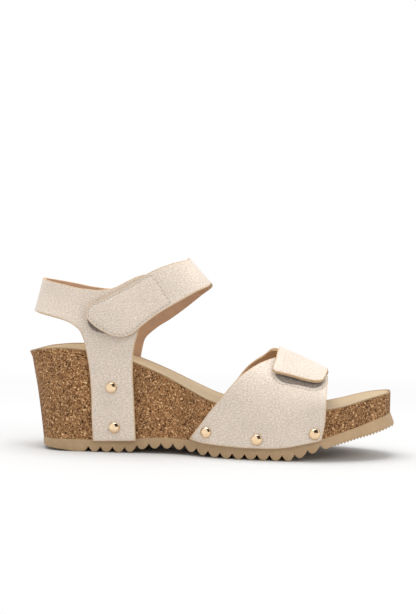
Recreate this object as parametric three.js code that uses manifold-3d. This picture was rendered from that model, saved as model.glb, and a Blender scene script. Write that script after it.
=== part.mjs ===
// Wedge sandal for a right foot, in millimetres.
// +X runs from heel to toe, +Y to the inner (medial) side of the foot and +Z up.
import * as THREE from "three";
import Module from "manifold-3d";

const wasm = await Module();
wasm.setup();

// ---------- Driving dimensions ----------

// Ends of the sole along its length at the footbed's rim, and the clearance left
// between bonded layers.
const SOLE_START = 1;
const SOLE_END = 251.4;
const GAP = 0.3;

// Heights along the length, each row [x, z]: the footbed's rim, the line where the
// cork meets the rubber, and the ground side of the rubber.
const RIM_HEIGHT = [
  [0, 66.5],
  [12, 69.5],
  [30, 70.8],
  [46, 69.6],
  [72, 63.2],
  [95, 54.4],
  [116, 44.3],
  [130, 38],
  [150, 32.4],
  [172, 30.7],
  [195, 32],
  [217, 36],
  [237, 41.8],
  [251, 44.9],
];
const RUBBER_TOP = [
  [0, 8.3],
  [45, 8.4],
  [70, 9],
  [97, 11.2],
  [115, 10.8],
  [138, 9.4],
  [165, 9.2],
  [187, 11.4],
  [207, 15.4],
  [225, 21.2],
  [240, 26.4],
  [252, 30.4],
];
const GROUND_SIDE = [
  [0, 1.8],
  [24, 0.4],
  [38, 0],
  [73, 0],
  [86, 2.8],
  [100, 3.7],
  [112, 3.3],
  [126, 1.2],
  [140, 0],
  [184, 0],
  [195, 3.2],
  [206, 7.6],
  [216, 10.4],
  [231, 14.9],
  [240, 17.1],
  [247, 19.2],
  [255, 21.6],
];

// Plan half widths, each row [x, half width], and the roundings at heel and toe.
const LATERAL_HALF = [
  [0, 30.5],
  [88, 30.5],
  [105, 31.2],
  [118, 35],
  [130, 40.2],
  [142, 43.8],
  [158, 46.6],
  [178, 47.8],
  [200, 46.2],
  [225, 41],
  [251, 36],
];
const MEDIAL_HALF = [
  [0, 29.5],
  [82, 29.5],
  [97, 29.8],
  [112, 32.5],
  [128, 36.8],
  [150, 41.5],
  [175, 43.5],
  [197, 42.6],
  [217, 39],
  [236, 34.5],
  [251, 32],
];
const HEEL_ROUNDING = 32;
const TOE_ROUNDING = 52;
const ROUNDING_POWER = 2.3;

// The back of the heel leans in towards the ground.
const HEEL_LEAN = 11.2;
const HEEL_LEAN_REACH = 48;
const HEEL_LEAN_POWER = 0.72;

// Footbed: how deep its middle lies under its rim, and its layers.
const DISH_DEPTH = [
  [0, 2],
  [40, 4.5],
  [90, 2.5],
  [130, 1.6],
  [251, 1.4],
];
// From behind the arch to the ball the lateral rim stands higher than the medial one, each
// by this much; it sets in and fades out between these x.
const SEAT_TILT = 1.2;
const TILT_SETS_IN = [50, 80];
const TILT_FADES = [190, 230];
const COVER_THICKNESS = 0.8;
const COVER_INSET = 0.4;
const CUSHION_THICKNESS = 3;
const CUSHION_INSET = 9;

// Outsole: cusped grooves cut across it leave the lugs. The heel block's ground side, each
// point [x, z] going backwards, rises a little towards the back of the heel.
const LUG_PITCH = 8.31;
const LUG_COUNT = 19;
const FIRST_GROOVE_X = 47.6;
const GROOVE_DEPTH = 3.6;
// One groove's section, each point [share of the pitch, share of the depth].
const GROOVE_SECTION = [
  [0.3, 0],
  [0.13, 0.3],
  [0, 1],
  [-0.13, 0.3],
  [-0.3, 0],
];
const HEEL_BLOCK = [
  [40, 0],
  [28, 1.2],
  [17.5, 2.2],
  [11.8, 2.7],
  [10, 3.8],
  [0, 4],
];

// Under the toe the outsole's side runs out, forwards and sideways, towards the ground.
const FLARE_FROM = 190;
const TOE_FLARE = 2.8;
const SIDE_FLARE = 0.035;
const SIDE_FLARE_FULL_AT = 235;

// Upper: thickness of each layer, from the foot outwards.
const LINING = 0.8;
const LEATHER = 1.2;
const TAPE = 0.6;
const LAYER_GAP = 0.3;
const LEATHER_TOP = LINING + LAYER_GAP + LEATHER;

// A closing tab is raised by this step over the leather under it. The ankle strap comes
// down from it between two x, the vamp strap between two y.
const CLOSURE_STEP = 4.4;
const ANKLE_DESCENT = [87, 112];
const VAMP_DESCENT = [-17, 4];

// Ankle wrap: its plan outline at several heights, each row
// [z, back x, front x, lateral half width, medial half width, squareness].
const ANKLE_WRAP = [
  [4, -5, 150, 30.5, 29.5, 6],
  [68, -2, 150, 30.5, 29.5, 6],
  [80, 1, 147, 30.4, 29.3, 4.6],
  [95, 5.2, 140.5, 29.2, 28, 3],
  [106, 8.2, 133, 28.3, 27, 2.6],
  [117, 11.2, 123.6, 27.3, 26, 2.5],
  [136, 16.2, 106.6, 25.6, 24.5, 2.4],
];

// How far to each side the outlines below are carried.
const SIDE_REACH = 60;

// Side outlines of the upper's pieces, each point [x, z].
const HEEL_STRAP_TOP = [
  [-12, 117.5],
  [8.5, 116.8],
  [26, 113.9],
  [40, 111.2],
  [52, 110.1],
];
const HEEL_STRAP_LOW = [
  [42.6, 77.1],
  [39.7, 82.6],
  [33.3, 87.1],
  [19.4, 91.7],
  [2.8, 95.1],
  [-12, 96.5],
];
const LEG_BACK_EDGE = [
  [51.2, 7.6],
  [50.2, 24],
  [49.6, 42],
  [47, 60],
  [44.6, 69.2],
];
const LATERAL_LEG_FRONT = [
  [61, 111.1],
  [74.3, 117.3],
  [80, 119.6],
  [84.2, 119],
  [86, 115.5],
  [85.2, 100],
  [81.2, 82.4],
  [78.6, 72],
  [77.9, 60],
  [79, 36],
  [80.6, 8.6],
];
const STRAP_MEDIAL = [
  [60, 110.9],
  [72, 115.8],
  [86.7, 122],
  [112.7, 132.3],
  [132, 133.5],
  [132, 115.7],
  [126.8, 115.5],
  [109.6, 101],
  [95.5, 89.8],
  [83.3, 81.5],
];
const MEDIAL_LEG_FRONT = [
  ...STRAP_MEDIAL,
  [76.6, 74.9],
  [74.2, 66],
  [74.6, 40],
  [77.4, 8.6],
];
const STRAP_LATERAL = [
  [132, 133.5],
  [112.7, 132.3],
  [100.3, 128.1],
  [86.7, 121.2],
  [81.3, 116.8],
  [67.8, 107.8],
  [54.2, 102],
  [47.4, 99.2],
  [44.9, 96.4],
  [45.2, 92.6],
  [50.4, 86.9],
  [59, 82],
  [65, 79.7],
  [71, 79],
  [77.2, 81],
  [83.8, 86.4],
  [94, 94.5],
  [108.9, 103.9],
  [126.8, 115.5],
  [132, 115.7],
];
const ANKLE_LOOP_TAPE = [
  [47.6, 96.2],
  [82.5, 112],
  [82.5, 90],
  [70.5, 82],
  [49.6, 85.6],
];
const ANKLE_HOOK_TAPE = [
  [48, 96.4],
  [54.6, 99.7],
  [68.6, 105.6],
  [88.5, 119.2],
  [94, 113],
  [100.6, 100.8],
  [82.6, 89],
  [76, 83.3],
  [70.6, 81.4],
  [60.2, 84],
  [52, 88.8],
  [47.7, 93],
];
const VAMP_BACK_EDGE = [
  [117.5, 11.6],
  [124.8, 21.7],
  [131.4, 31],
  [138, 39.2],
  [144.5, 47.4],
  [151, 54.9],
];
const VAMP_LOW_FRONT = [
  [209.2, 40],
  [208.4, 28],
  [205.4, 13.8],
  [195, 10.9],
  [182, 8.2],
  [160, 7.4],
  [139, 8.2],
  [125.7, 9.6],
];
const LATERAL_VAMP_TOP = [
  [157.6, 60.2],
  [163.7, 64.1],
  [170.3, 67.1],
  [176.5, 69.5],
  [178.5, 84],
  [209.2, 84],
];
const MEDIAL_VAMP_TOP = [
  [157.4, 60.4],
  [162.6, 65.2],
  [169, 69.4],
  [174, 71.4],
  [175.4, 84],
  [209.2, 84],
];
const STRAP_MEDIAL_LOW = [
  [209.2, 40],
  [160, 40],
];
const VAMP_TAB = [
  [175.4, 84],
  [175.4, 72.4],
  [174.9, 68.4],
  [173.2, 61.7],
  [173.4, 59.2],
  [175.6, 58.2],
  [184.1, 56.7],
  [197.4, 53.9],
  [203, 53.4],
  [207, 54.4],
  [209.2, 58.5],
  [209.2, 84],
];
const VAMP_LOOP_TAPE = [
  [177, 78],
  [176.6, 70.5],
  [174.6, 62],
  [174.6, 57.2],
  [178, 54],
  [191, 50.6],
  [202, 49.2],
  [206, 51],
  [207, 60],
  [207, 78],
];
const VAMP_HOOK_TAPE = [
  [177.5, 78],
  [176.8, 70.5],
  [174.8, 61.6],
  [176.6, 59.9],
  [184.6, 58.4],
  [197.8, 55.5],
  [203.6, 55.2],
  [206.6, 58.5],
  [206.8, 78],
];

// Vamp arch: height of its ridge, each row [x, z], and the roundness of its section.
const VAMP_RIDGE = [
  [108, 91],
  [150, 79],
  [174, 68.9],
  [190, 62],
  [208, 53.7],
  [216, 50],
];
const VAMP_ROUNDNESS = 2.25;
const VAMP_FOOT_Z = 5;
// From here forwards the vamp runs straight on instead of following the toe's rounding.
const VAMP_STRAIGHT_FROM = 204;

// Lines where the straps bend. On the ankle: [x, z] of a point on the line, its side of
// the sandal and its direction in x and z.
const SWING_ANKLE = { at: [84, 102], side: 1, along: [-0.5, 0.866] };
const PEEL_ANKLE = { at: [95.5, 109.2], side: -1, along: [-0.54, 0.842] };
const BEND_HALF_LENGTH = 14;
const BEND_CLEARANCE = 0.3;
const SWING_VAMP_Y = 20;
const PEEL_VAMP_Y = -13;
const VAMP_BEND_X = 191;
const VAMP_BEND_HALF_LENGTH = 12;
const BEND_GAP = 0.5;

// Where the vamp's pieces end across the foot: the seam between the strap's two outlines,
// and the inner edges of the lateral panel and of the two tapes.
const VAMP_SEAM_Y = 4;
const LATERAL_PANEL_EDGE_Y = -19;
const LOOP_TAPE_EDGE_Y = -20;
const HOOK_TAPE_EDGE_Y = -19;

// Points well inside some areas of the upper, used to say which side of a bend is meant.
const MEDIAL_LEG = [50, 28, 60];
const LATERAL_QUARTER = [50, -30, 90];
const INSTEP = [125, 0, 120];
const LATERAL_FOREFOOT = [190, -40, 40];
const MEDIAL_FOREFOOT = [190, 40, 40];

// Rivets: [x, z] of each on the lateral side; the medial side mirrors them.
const RIVET_HEAD_RADIUS = 3.8;
const RIVET_HEAD_HEIGHT = 2.1;
const NAIL_RADIUS = 0.9;
const NAIL_LENGTH = 13;
const LATERAL_LEG_RIVETS = [
  [63.5, 44.5],
  [65.9, 17.3],
];
const MEDIAL_LEG_RIVETS = [
  [62, 44.5],
  [63.5, 17.3],
];
const VAMP_RIVETS = [
  [130, 17],
  [164, 14],
  [201.5, 18.8],
];

// ---------- Curves ----------

// Smooth curve through rows of [position, value], without overshoot between them.
function curve(rows, at, column = 1) {
  const last = rows.length - 1;
  if (at <= rows[0][0]) return rows[0][column];
  if (at >= rows[last][0]) return rows[last][column];
  let i = 0;
  while (rows[i + 1][0] < at) i += 1;
  const slope = (k) =>
    (rows[k + 1][column] - rows[k][column]) / (rows[k + 1][0] - rows[k][0]);
  const tangent = (k) => {
    if (k === 0) return slope(0);
    if (k === last) return slope(last - 1);
    const before = slope(k - 1);
    const after = slope(k);
    if (before * after <= 0) return 0;
    return (2 * before * after) / (before + after);
  };
  const width = rows[i + 1][0] - rows[i][0];
  const t = (at - rows[i][0]) / width;
  const start = rows[i][column];
  const end = rows[i + 1][column];
  const rise = end - start;
  const a = tangent(i) * width - rise;
  const b = -tangent(i + 1) * width + rise;
  return start + rise * t + t * (1 - t) * ((1 - t) * a + t * b);
}

function smoothStep(from, to, at) {
  const t = Math.min(1, Math.max(0, (at - from) / (to - from)));
  return t * t * (3 - 2 * t);
}

const rimHeight = (x) => curve(RIM_HEIGHT, x);
const rubberTop = (x) => curve(RUBBER_TOP, x);

// One end's rounding: 0 at the tip and 1 from the given distance on.
function endRounding(distance, reach) {
  if (distance >= reach) return 1;
  const rest = Math.pow(1 - Math.max(0, distance) / reach, ROUNDING_POWER);
  return Math.pow(1 - rest, 1 / ROUNDING_POWER);
}

// Distance of the sole's side from the middle line, on the lateral (-1) or medial (+1) side.
function halfWidth(x, side) {
  const body = curve(side < 0 ? LATERAL_HALF : MEDIAL_HALF, x);
  const heel = endRounding(x - SOLE_START, HEEL_ROUNDING);
  const toe = endRounding(SOLE_END - x, TOE_ROUNDING);
  return body * heel * toe;
}

// How far the lateral rim is raised, and the medial one lowered.
function tilt(x) {
  return SEAT_TILT * smoothStep(...TILT_SETS_IN, x) * (1 - smoothStep(...TILT_FADES, x));
}

// Height of the footbed's surface: its middle is dished below the rim.
function seatHeight(x, y) {
  const half = Math.max(1, halfWidth(x, Math.sign(y) || 1));
  const across = Math.min(1, Math.abs(y) / half);
  const dish = curve(DISH_DEPTH, x) * (1 - Math.pow(across, 3));
  return rimHeight(x) - dish - tilt(x) * across * Math.sign(y);
}

// ---------- Solids ----------

// Stations along the sole, close together at heel and toe.
function stations(from, to, count) {
  const list = [];
  for (let i = 0; i <= count; i += 1) {
    list.push(from + ((to - from) * (1 - Math.cos((Math.PI * i) / count))) / 2);
  }
  return list;
}

// Ways to close an end ring of points: as a fan, or as a strip folded in the middle.
function fanCap(size) {
  const faces = [];
  for (let j = 1; j + 1 < size; j += 1) faces.push([0, j + 1, j]);
  return faces;
}

function stripCap(size) {
  const faces = [];
  for (let j = 0; j + 1 < size / 2; j += 1) {
    const opposite = size - 1 - j;
    faces.push([j, opposite - 1, j + 1], [j, opposite, opposite - 1]);
  }
  return faces;
}

// Closed body from a grid of points: rings[i][j] joined ring to ring, ends capped.
function loft(rings, capOf = fanCap) {
  const size = rings[0].length;
  const positions = rings.flat(2);
  const faces = [];
  for (let i = 0; i + 1 < rings.length; i += 1) {
    for (let j = 0; j < size; j += 1) {
      const a = i * size + j;
      const b = i * size + ((j + 1) % size);
      faces.push(a, b, b + size, a, b + size, a + size);
    }
  }
  const lastRing = (rings.length - 1) * size;
  for (const [a, b, c] of capOf(size)) {
    faces.push(a, b, c);
    faces.push(lastRing + a, lastRing + c, lastRing + b);
  }
  return solidFrom(positions, faces);
}

// Manifold solid from plain positions and faces, turned outwards if need be.
function solidFrom(positions, faces) {
  const build = (list) =>
    new wasm.Manifold(
      new wasm.Mesh({
        numProp: 3,
        vertProperties: new Float32Array(positions),
        triVerts: new Uint32Array(list),
      }),
    );
  const solid = build(faces);
  return solid.volume() > 0 ? solid : build(faces.toReversed());
}

// Manifold solid of a closed three.js geometry.
function solidOf(geometry) {
  const merged = new Map();
  const positions = [];
  const source = (geometry.index ? geometry.toNonIndexed() : geometry).getAttribute("position");
  const faces = [];
  for (let i = 0; i < source.count; i += 1) {
    const point = [source.getX(i), source.getY(i), source.getZ(i)];
    const key = point.map((v) => Math.round(v * 1e4)).join();
    if (!merged.has(key)) {
      merged.set(key, positions.length / 3);
      positions.push(...point);
    }
    faces.push(merged.get(key));
  }
  const real = [];
  for (let i = 0; i < faces.length; i += 3) {
    const [a, b, c] = faces.slice(i, i + 3);
    if (a !== b && b !== c && a !== c) real.push(a, b, c);
  }
  return solidFrom(positions, real);
}

// Outline of [x, z] points carried across the sandal from one y to another.
function prism(points, fromY, toY) {
  const shape = new THREE.Shape(points.map(([x, z]) => new THREE.Vector2(x, z)));
  const geometry = new THREE.ExtrudeGeometry(shape, {
    depth: toY - fromY,
    bevelEnabled: false,
    curveSegments: 1,
  });
  geometry.rotateX(Math.PI / 2);
  geometry.translate(0, toY, 0);
  return solidOf(geometry);
}

// Two outlines, one for each side of the sandal, joined at a given y.
function twoSided(lateral, medial, seamY) {
  const seamOverlap = 0.05;
  return prism(lateral, -SIDE_REACH, seamY + seamOverlap).add(
    prism(medial, seamY, SIDE_REACH),
  );
}

// Sheet of a given layer over a surface: surface(u, v) gives a point, lift(u, v) the
// distance the whole layer is raised, and the two depths its inner and outer face.
function sheet(surface, us, vs, innerFace, outerFace, lift = () => 0) {
  const step = 1e-3;
  const offsetPoint = (u, v, depth) => {
    const here = surface(u, v);
    const alongU = surface(u + step, v).sub(surface(u - step, v));
    const alongV = surface(u, v + step).sub(surface(u, v - step));
    const normal = alongU.cross(alongV).normalize();
    return here.addScaledVector(normal, depth + lift(u, v)).toArray();
  };
  const rings = us.map((u) => {
    const inner = vs.map((v) => offsetPoint(u, v, innerFace));
    const outer = vs.map((v) => offsetPoint(u, v, outerFace));
    return [...inner, ...outer.reverse()];
  });
  return loft(rings, stripCap);
}

// Everything on one side of the plane through a point, on the side its normal points to.
function halfSpace(point, normal) {
  const size = 400;
  const geometry = new THREE.BoxGeometry(size, size, size);
  geometry.translate(0, 0, size / 2);
  const turn = new THREE.Quaternion();
  turn.setFromUnitVectors(new THREE.Vector3(0, 0, 1), normal.clone().normalize());
  geometry.applyQuaternion(turn);
  geometry.translate(point.x, point.y, point.z);
  return solidOf(geometry);
}

// ---------- Sole ----------

// Heel lean: how far forward a point at the heel moves when it lies below the rim.
function lean(x, z) {
  const level = (z - rubberTop(x)) / (rimHeight(x) - rubberTop(x));
  const depth = Math.pow(Math.min(1, Math.max(0, 1 - level)), HEEL_LEAN_POWER);
  const reach = Math.max(0, 1 - x / HEEL_LEAN_REACH);
  return HEEL_LEAN * depth * reach * reach;
}

// Section of the cork at one station, from the rubber up to just under the cover.
function corkRing(x) {
  const levels = [0, 0.2, 0.45, 0.75, 1];
  const across = [-0.9, -0.6, -0.25, 0.25, 0.6, 0.9];
  const bottom = rubberTop(x) + GAP;
  const wall = (side, level) => {
    const top = rimHeight(x) - side * tilt(x) - COVER_THICKNESS - GAP;
    const z = bottom + (top - bottom) * level;
    const shift = level === 1 ? 0 : lean(x, z);
    return [x + shift, side * halfWidth(x, side), z];
  };
  const lateral = levels.map((level) => wall(-1, level));
  const medial = levels.map((level) => wall(1, level)).reverse();
  const seat = across.map((part) => {
    const y = part * halfWidth(x, Math.sign(part));
    return [x, y, seatHeight(x, y) - COVER_THICKNESS - GAP];
  });
  return [...lateral, ...seat, ...medial];
}

// Flat body lying under the footbed's surface, inset from the sole's side.
function footbedLayer(inset, topDepth, bottomDepth, stationCount) {
  const across = [-1, -0.8, -0.4, 0, 0.4, 0.8, 1];
  const ends = [SOLE_START + inset + 0.2, SOLE_END - inset - 0.2];
  const rings = stations(ends[0], ends[1], stationCount).map((x) => {
    const spread = (part) => {
      const outer = halfWidth(x, Math.sign(part) || 1);
      return part * insetHalf(x, Math.sign(part) || 1, inset, outer);
    };
    const top = across.map((part) => [
      x,
      spread(part),
      seatHeight(x, spread(part)) - topDepth,
    ]);
    const bottom = across.map((part) => [
      x,
      spread(part),
      seatHeight(x, spread(part)) - bottomDepth,
    ]);
    return [...top, ...bottom.reverse()];
  });
  return loft(rings);
}

// Half width of a footbed layer whose outline keeps an even distance from the sole's side.
function insetHalf(x, side, inset, outer) {
  if (inset < 1) return Math.max(0.1, outer - inset);
  const body = curve(side < 0 ? LATERAL_HALF : MEDIAL_HALF, x) - inset;
  const heel = endRounding(x - SOLE_START - inset, HEEL_ROUNDING - inset);
  const toe = endRounding(SOLE_END - inset - x, TOE_ROUNDING - inset);
  return Math.max(0.1, body * heel * toe);
}

function makeWedge() {
  const rings = stations(SOLE_START + 0.1, SOLE_END - 0.1, 40).map(corkRing);
  const pocketInset = CUSHION_INSET - GAP;
  const pocketFloor = COVER_THICKNESS + 2 * GAP + CUSHION_THICKNESS + GAP;
  const pocket = footbedLayer(pocketInset, -2, pocketFloor, 22);
  return loft(rings).subtract(pocket);
}

function makeCushion() {
  const top = COVER_THICKNESS + 2 * GAP;
  return footbedLayer(CUSHION_INSET, top, top + CUSHION_THICKNESS, 22);
}

function makeCover() {
  return footbedLayer(COVER_INSET, 0, COVER_THICKNESS, 40);
}

// Side profile of the outsole: its top line, then its ground side with the grooves.
function outsoleProfile() {
  const tipX = SOLE_END + TOE_FLARE + 2;
  const points = [];
  for (const x of stations(0, tipX, 26)) points.push([x, rubberTop(x)]);
  const groundLine = [[tipX, curve(GROUND_SIDE, tipX)]];
  const lastGroove = FIRST_GROOVE_X + LUG_PITCH * LUG_COUNT;
  for (let x = 250; x > lastGroove + 2; x -= 7) {
    groundLine.push([x, curve(GROUND_SIDE, x)]);
  }
  for (let i = LUG_COUNT; i >= 0; i -= 1) {
    for (const [offset, rise] of GROOVE_SECTION) {
      const x = FIRST_GROOVE_X + LUG_PITCH * (i + offset);
      groundLine.push([x, curve(GROUND_SIDE, x) + rise * GROOVE_DEPTH]);
    }
  }
  return [...points, ...groundLine, ...HEEL_BLOCK];
}

// Blank of the outsole: the sole's plan, set in at the heel and flared under the toe.
function outsoleBlank() {
  const rings = stations(SOLE_START + 0.1, SOLE_END - 0.1, 40).map((x) => {
    const shift = lean(x, 0);
    const flare = TOE_FLARE * smoothStep(FLARE_FROM, SOLE_END, x);
    const spread = 1 + SIDE_FLARE * smoothStep(FLARE_FROM, SIDE_FLARE_FULL_AT, x);
    const lateral = -halfWidth(x, -1);
    const medial = halfWidth(x, 1);
    const top = rubberTop(x) + 1;
    const bottom = curve(GROUND_SIDE, x) - 2;
    return [
      [x + shift, lateral, top],
      [x + shift + flare, lateral * spread, bottom],
      [x + shift + flare, medial * spread, bottom],
      [x + shift, medial, top],
    ];
  });
  return loft(rings);
}

function makeOutsole() {
  return outsoleBlank().intersect(prism(outsoleProfile(), -SIDE_REACH, SIDE_REACH));
}

// ---------- Ankle wrap ----------

// Point on the ankle wrap's base surface. The turn runs from the heel's middle (0) over
// the lateral side and the instep (pi) to the medial side and back.
function anklePoint(turn, z) {
  const back = curve(ANKLE_WRAP, z, 1);
  const front = curve(ANKLE_WRAP, z, 2);
  const lateral = Math.sin(turn) > 0;
  const half = curve(ANKLE_WRAP, z, lateral ? 3 : 4) + GAP;
  const power = curve(ANKLE_WRAP, z, 5);
  const along = -Math.cos(turn);
  const across = Math.pow(Math.max(0, 1 - Math.pow(Math.abs(along), power)), 1 / power);
  const x = (back + front) / 2 + (along * (front - back)) / 2;
  return new THREE.Vector3(x, (lateral ? -1 : 1) * half * across, z);
}

// Point on the ankle wrap at a given x, on the lateral (-1) or medial (+1) side.
function ankleSide(x, z, side) {
  const back = curve(ANKLE_WRAP, z, 1);
  const front = curve(ANKLE_WRAP, z, 2);
  const along = (2 * x - back - front) / (front - back);
  const turn = Math.acos(-along);
  return anklePoint(side < 0 ? turn : 2 * Math.PI - turn, z);
}

// The strap's end lies over the quarter, and comes down to the foot past the lobe.
function closureLift(x, side) {
  return side > 0 ? 0 : CLOSURE_STEP * (1 - smoothStep(...ANKLE_DESCENT, x));
}

function ankleLift(turn, z) {
  const here = anklePoint(turn, z);
  return closureLift(here.x, Math.sign(here.y));
}

function turns(fromDegrees, toDegrees, stepDegrees) {
  const list = [];
  const count = Math.round((toDegrees - fromDegrees) / stepDegrees);
  for (let i = 0; i <= count; i += 1) {
    const degrees = fromDegrees + ((toDegrees - fromDegrees) * i) / count;
    list.push((degrees * Math.PI) / 180);
  }
  return list;
}

const LEG_ROWS = [5, 40, 68, 75, 82, 90, 98, 106, 114, 123];
const STRAP_ROWS = [77, 84, 91, 98, 105, 112, 119, 126, 134.5];
const LEG_TURNS = [
  ...turns(-109, -41, 8.5),
  ...turns(-35, 35, 7),
  ...turns(41, 103, 8.857),
];
const STRAP_TURNS = [
  ...turns(65, 101, 9),
  ...turns(106, 146, 5),
  ...turns(153, 223, 7),
  ...turns(232, 268, 9),
];
const TAPE_TURNS = turns(66, 124, 8.286);

// Outline of the whole quarter, from both of its sides.
function quarterOutline() {
  const lateral = [
    ...HEEL_STRAP_TOP,
    ...LATERAL_LEG_FRONT,
    ...LEG_BACK_EDGE,
    ...HEEL_STRAP_LOW,
  ];
  const medial = [
    ...HEEL_STRAP_TOP,
    ...MEDIAL_LEG_FRONT,
    ...LEG_BACK_EDGE,
    ...HEEL_STRAP_LOW,
  ];
  return twoSided(lateral, medial, 0);
}

// A bend line: a point just outside the leather, the line and the way across it.
function ankleBend({ at, side, along }) {
  const outside = (share) => {
    const x = at[0] + along[0] * BEND_HALF_LENGTH * share;
    const z = at[1] + along[1] * BEND_HALF_LENGTH * share;
    const here = ankleSide(x, z, side);
    const ahead = ankleSide(x + 0.5, z, side).sub(here);
    const above = ankleSide(x, z + 0.5, side).sub(here);
    const outwards = above.cross(ahead).multiplyScalar(side < 0 ? -1 : 1).normalize();
    const height = LEATHER_TOP + BEND_CLEARANCE + closureLift(x, side);
    return { point: here.addScaledVector(outwards, height), outwards };
  };
  const { point, outwards } = outside(0);
  const line = outside(1).point.sub(outside(-1).point).normalize();
  const across = new THREE.Vector3().crossVectors(outwards, line).normalize();
  return { point, line, across };
}

const ankleSwing = ankleBend(SWING_ANKLE);
const anklePeel = ankleBend(PEEL_ANKLE);

// One side of a bend, with half of the bend's gap left open; sign picks the side.
function besideBend(bend, sign) {
  const normal = bend.across.clone().multiplyScalar(sign);
  const point = bend.point.clone().addScaledVector(normal, BEND_GAP / 2);
  return halfSpace(point, normal);
}

// The part of one side of the sandal that lies past a bend, seen from a target point.
function beyondBend(bend, target, side) {
  const away = -towards(bend, target);
  const normal = bend.across.clone().multiplyScalar(away);
  const point = bend.point.clone().addScaledVector(normal, -BEND_GAP / 2);
  const sideOnly = halfSpace(new THREE.Vector3(), new THREE.Vector3(0, side, 0));
  return halfSpace(point, normal).intersect(sideOnly);
}

// Which side of a bend a target point lies on, as a sign.
function towards(bend, target) {
  const way = new THREE.Vector3(...target).sub(bend.point).dot(bend.across);
  return Math.sign(way);
}

function makeQuarter(innerFace, outerFace) {
  const wrap = sheet(anklePoint, LEG_TURNS, LEG_ROWS, innerFace, outerFace);
  return wrap
    .intersect(quarterOutline())
    .subtract(beyondBend(ankleSwing, MEDIAL_LEG, 1));
}

function ankleStrapBlank(innerFace, outerFace) {
  const wrap = sheet(
    anklePoint,
    STRAP_TURNS,
    STRAP_ROWS,
    innerFace,
    outerFace,
    ankleLift,
  );
  return wrap.intersect(twoSided(STRAP_LATERAL, STRAP_MEDIAL, 0));
}

function makeAnkleStrap(innerFace, outerFace) {
  return ankleStrapBlank(innerFace, outerFace)
    .subtract(beyondBend(anklePeel, INSTEP, -1))
    .subtract(beyondBend(ankleSwing, INSTEP, 1));
}

function makeAnkleTab(innerFace, outerFace) {
  const end = besideBend(anklePeel, towards(anklePeel, LATERAL_QUARTER));
  const lateralOnly = halfSpace(new THREE.Vector3(), new THREE.Vector3(0, -1, 0));
  return ankleStrapBlank(innerFace, outerFace).intersect(end).intersect(lateralOnly);
}

function makeAnkleLoopTape() {
  const low = LEATHER_TOP + LAYER_GAP;
  const tape = sheet(anklePoint, TAPE_TURNS, STRAP_ROWS, low, low + TAPE);
  return tape.intersect(prism(ANKLE_LOOP_TAPE, -SIDE_REACH, 0));
}

function makeAnkleHookTape() {
  const top = -LAYER_GAP;
  const tape = sheet(
    anklePoint,
    TAPE_TURNS,
    STRAP_ROWS,
    top - TAPE,
    top,
    ankleLift,
  );
  const end = besideBend(anklePeel, towards(anklePeel, LATERAL_QUARTER));
  return tape.intersect(prism(ANKLE_HOOK_TAPE, -SIDE_REACH, 0)).intersect(end);
}

// ---------- Vamp ----------

// Point on the vamp's base surface. The way round runs up the lateral side of the cork
// (-1 to 0), over the foot (0 to pi) and down the medial side (pi to pi + 1).
function vampPoint(x, round) {
  const rim = rimHeight(x);
  const overFoot = Math.min(Math.PI, Math.max(0, round));
  const lateral = overFoot < Math.PI / 2;
  const half = halfWidth(Math.min(x, VAMP_STRAIGHT_FROM), lateral ? -1 : 1) + GAP;
  const across = Math.pow(Math.abs(Math.cos(overFoot)), 2 / VAMP_ROUNDNESS);
  const up = Math.pow(Math.max(0, Math.sin(overFoot)), 2 / VAMP_ROUNDNESS);
  const height = curve(VAMP_RIDGE, x) - rim;
  const below = Math.max(0, -round, round - Math.PI);
  const z = rim + height * up - (rim - VAMP_FOOT_Z) * below;
  return new THREE.Vector3(x, (lateral ? -1 : 1) * half * across, z);
}

// The tab lies over the lateral vamp, and comes down to the foot on top.
function vampLift(x, round) {
  const here = vampPoint(x, round);
  return CLOSURE_STEP * (1 - smoothStep(...VAMP_DESCENT, here.y));
}

const VAMP_STATIONS = [114, 122, 130, 139, 148, 158, 168, 178, 187, 196, 204, 211];
const TAB_STATIONS = [168, 178, 187, 196, 204, 211];

function rounds(from, to, count) {
  const list = [];
  for (let i = 0; i <= count; i += 1) list.push(from + ((to - from) * i) / count);
  return list;
}

const LATERAL_ROUNDS = [-0.98, ...rounds(0, 0.48 * Math.PI, 9)];
const TOP_ROUNDS = rounds(0.1 * Math.PI, 0.8 * Math.PI, 14);
const MEDIAL_ROUNDS = [...rounds(0.58 * Math.PI, Math.PI, 8), Math.PI + 0.98];

// Bend line across the vamp's top at a given y, on the outside of the leather.
function vampBend(y) {
  const heightAt = (x) => {
    let low = 0.25 * Math.PI;
    let high = 0.75 * Math.PI;
    for (let i = 0; i < 40; i += 1) {
      const middle = (low + high) / 2;
      if (vampPoint(x, middle).y < y) low = middle;
      else high = middle;
    }
    return { round: low, z: vampPoint(x, low).z };
  };
  const here = heightAt(VAMP_BEND_X);
  const back = heightAt(VAMP_BEND_X - VAMP_BEND_HALF_LENGTH);
  const front = heightAt(VAMP_BEND_X + VAMP_BEND_HALF_LENGTH);
  const length = 2 * VAMP_BEND_HALF_LENGTH;
  const line = new THREE.Vector3(length, 0, front.z - back.z).normalize();
  const point = new THREE.Vector3(VAMP_BEND_X, y, here.z);
  const near = vampPoint(VAMP_BEND_X, here.round + 0.02);
  const outwards = line.clone().cross(near.sub(point)).normalize();
  const depth = LEATHER_TOP + vampLift(VAMP_BEND_X, here.round) + BEND_CLEARANCE;
  point.addScaledVector(outwards, depth);
  const across = new THREE.Vector3().crossVectors(outwards, line).normalize();
  return { point, line, across };
}

const vampSwing = vampBend(SWING_VAMP_Y);
const vampPeel = vampBend(PEEL_VAMP_Y);

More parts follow.
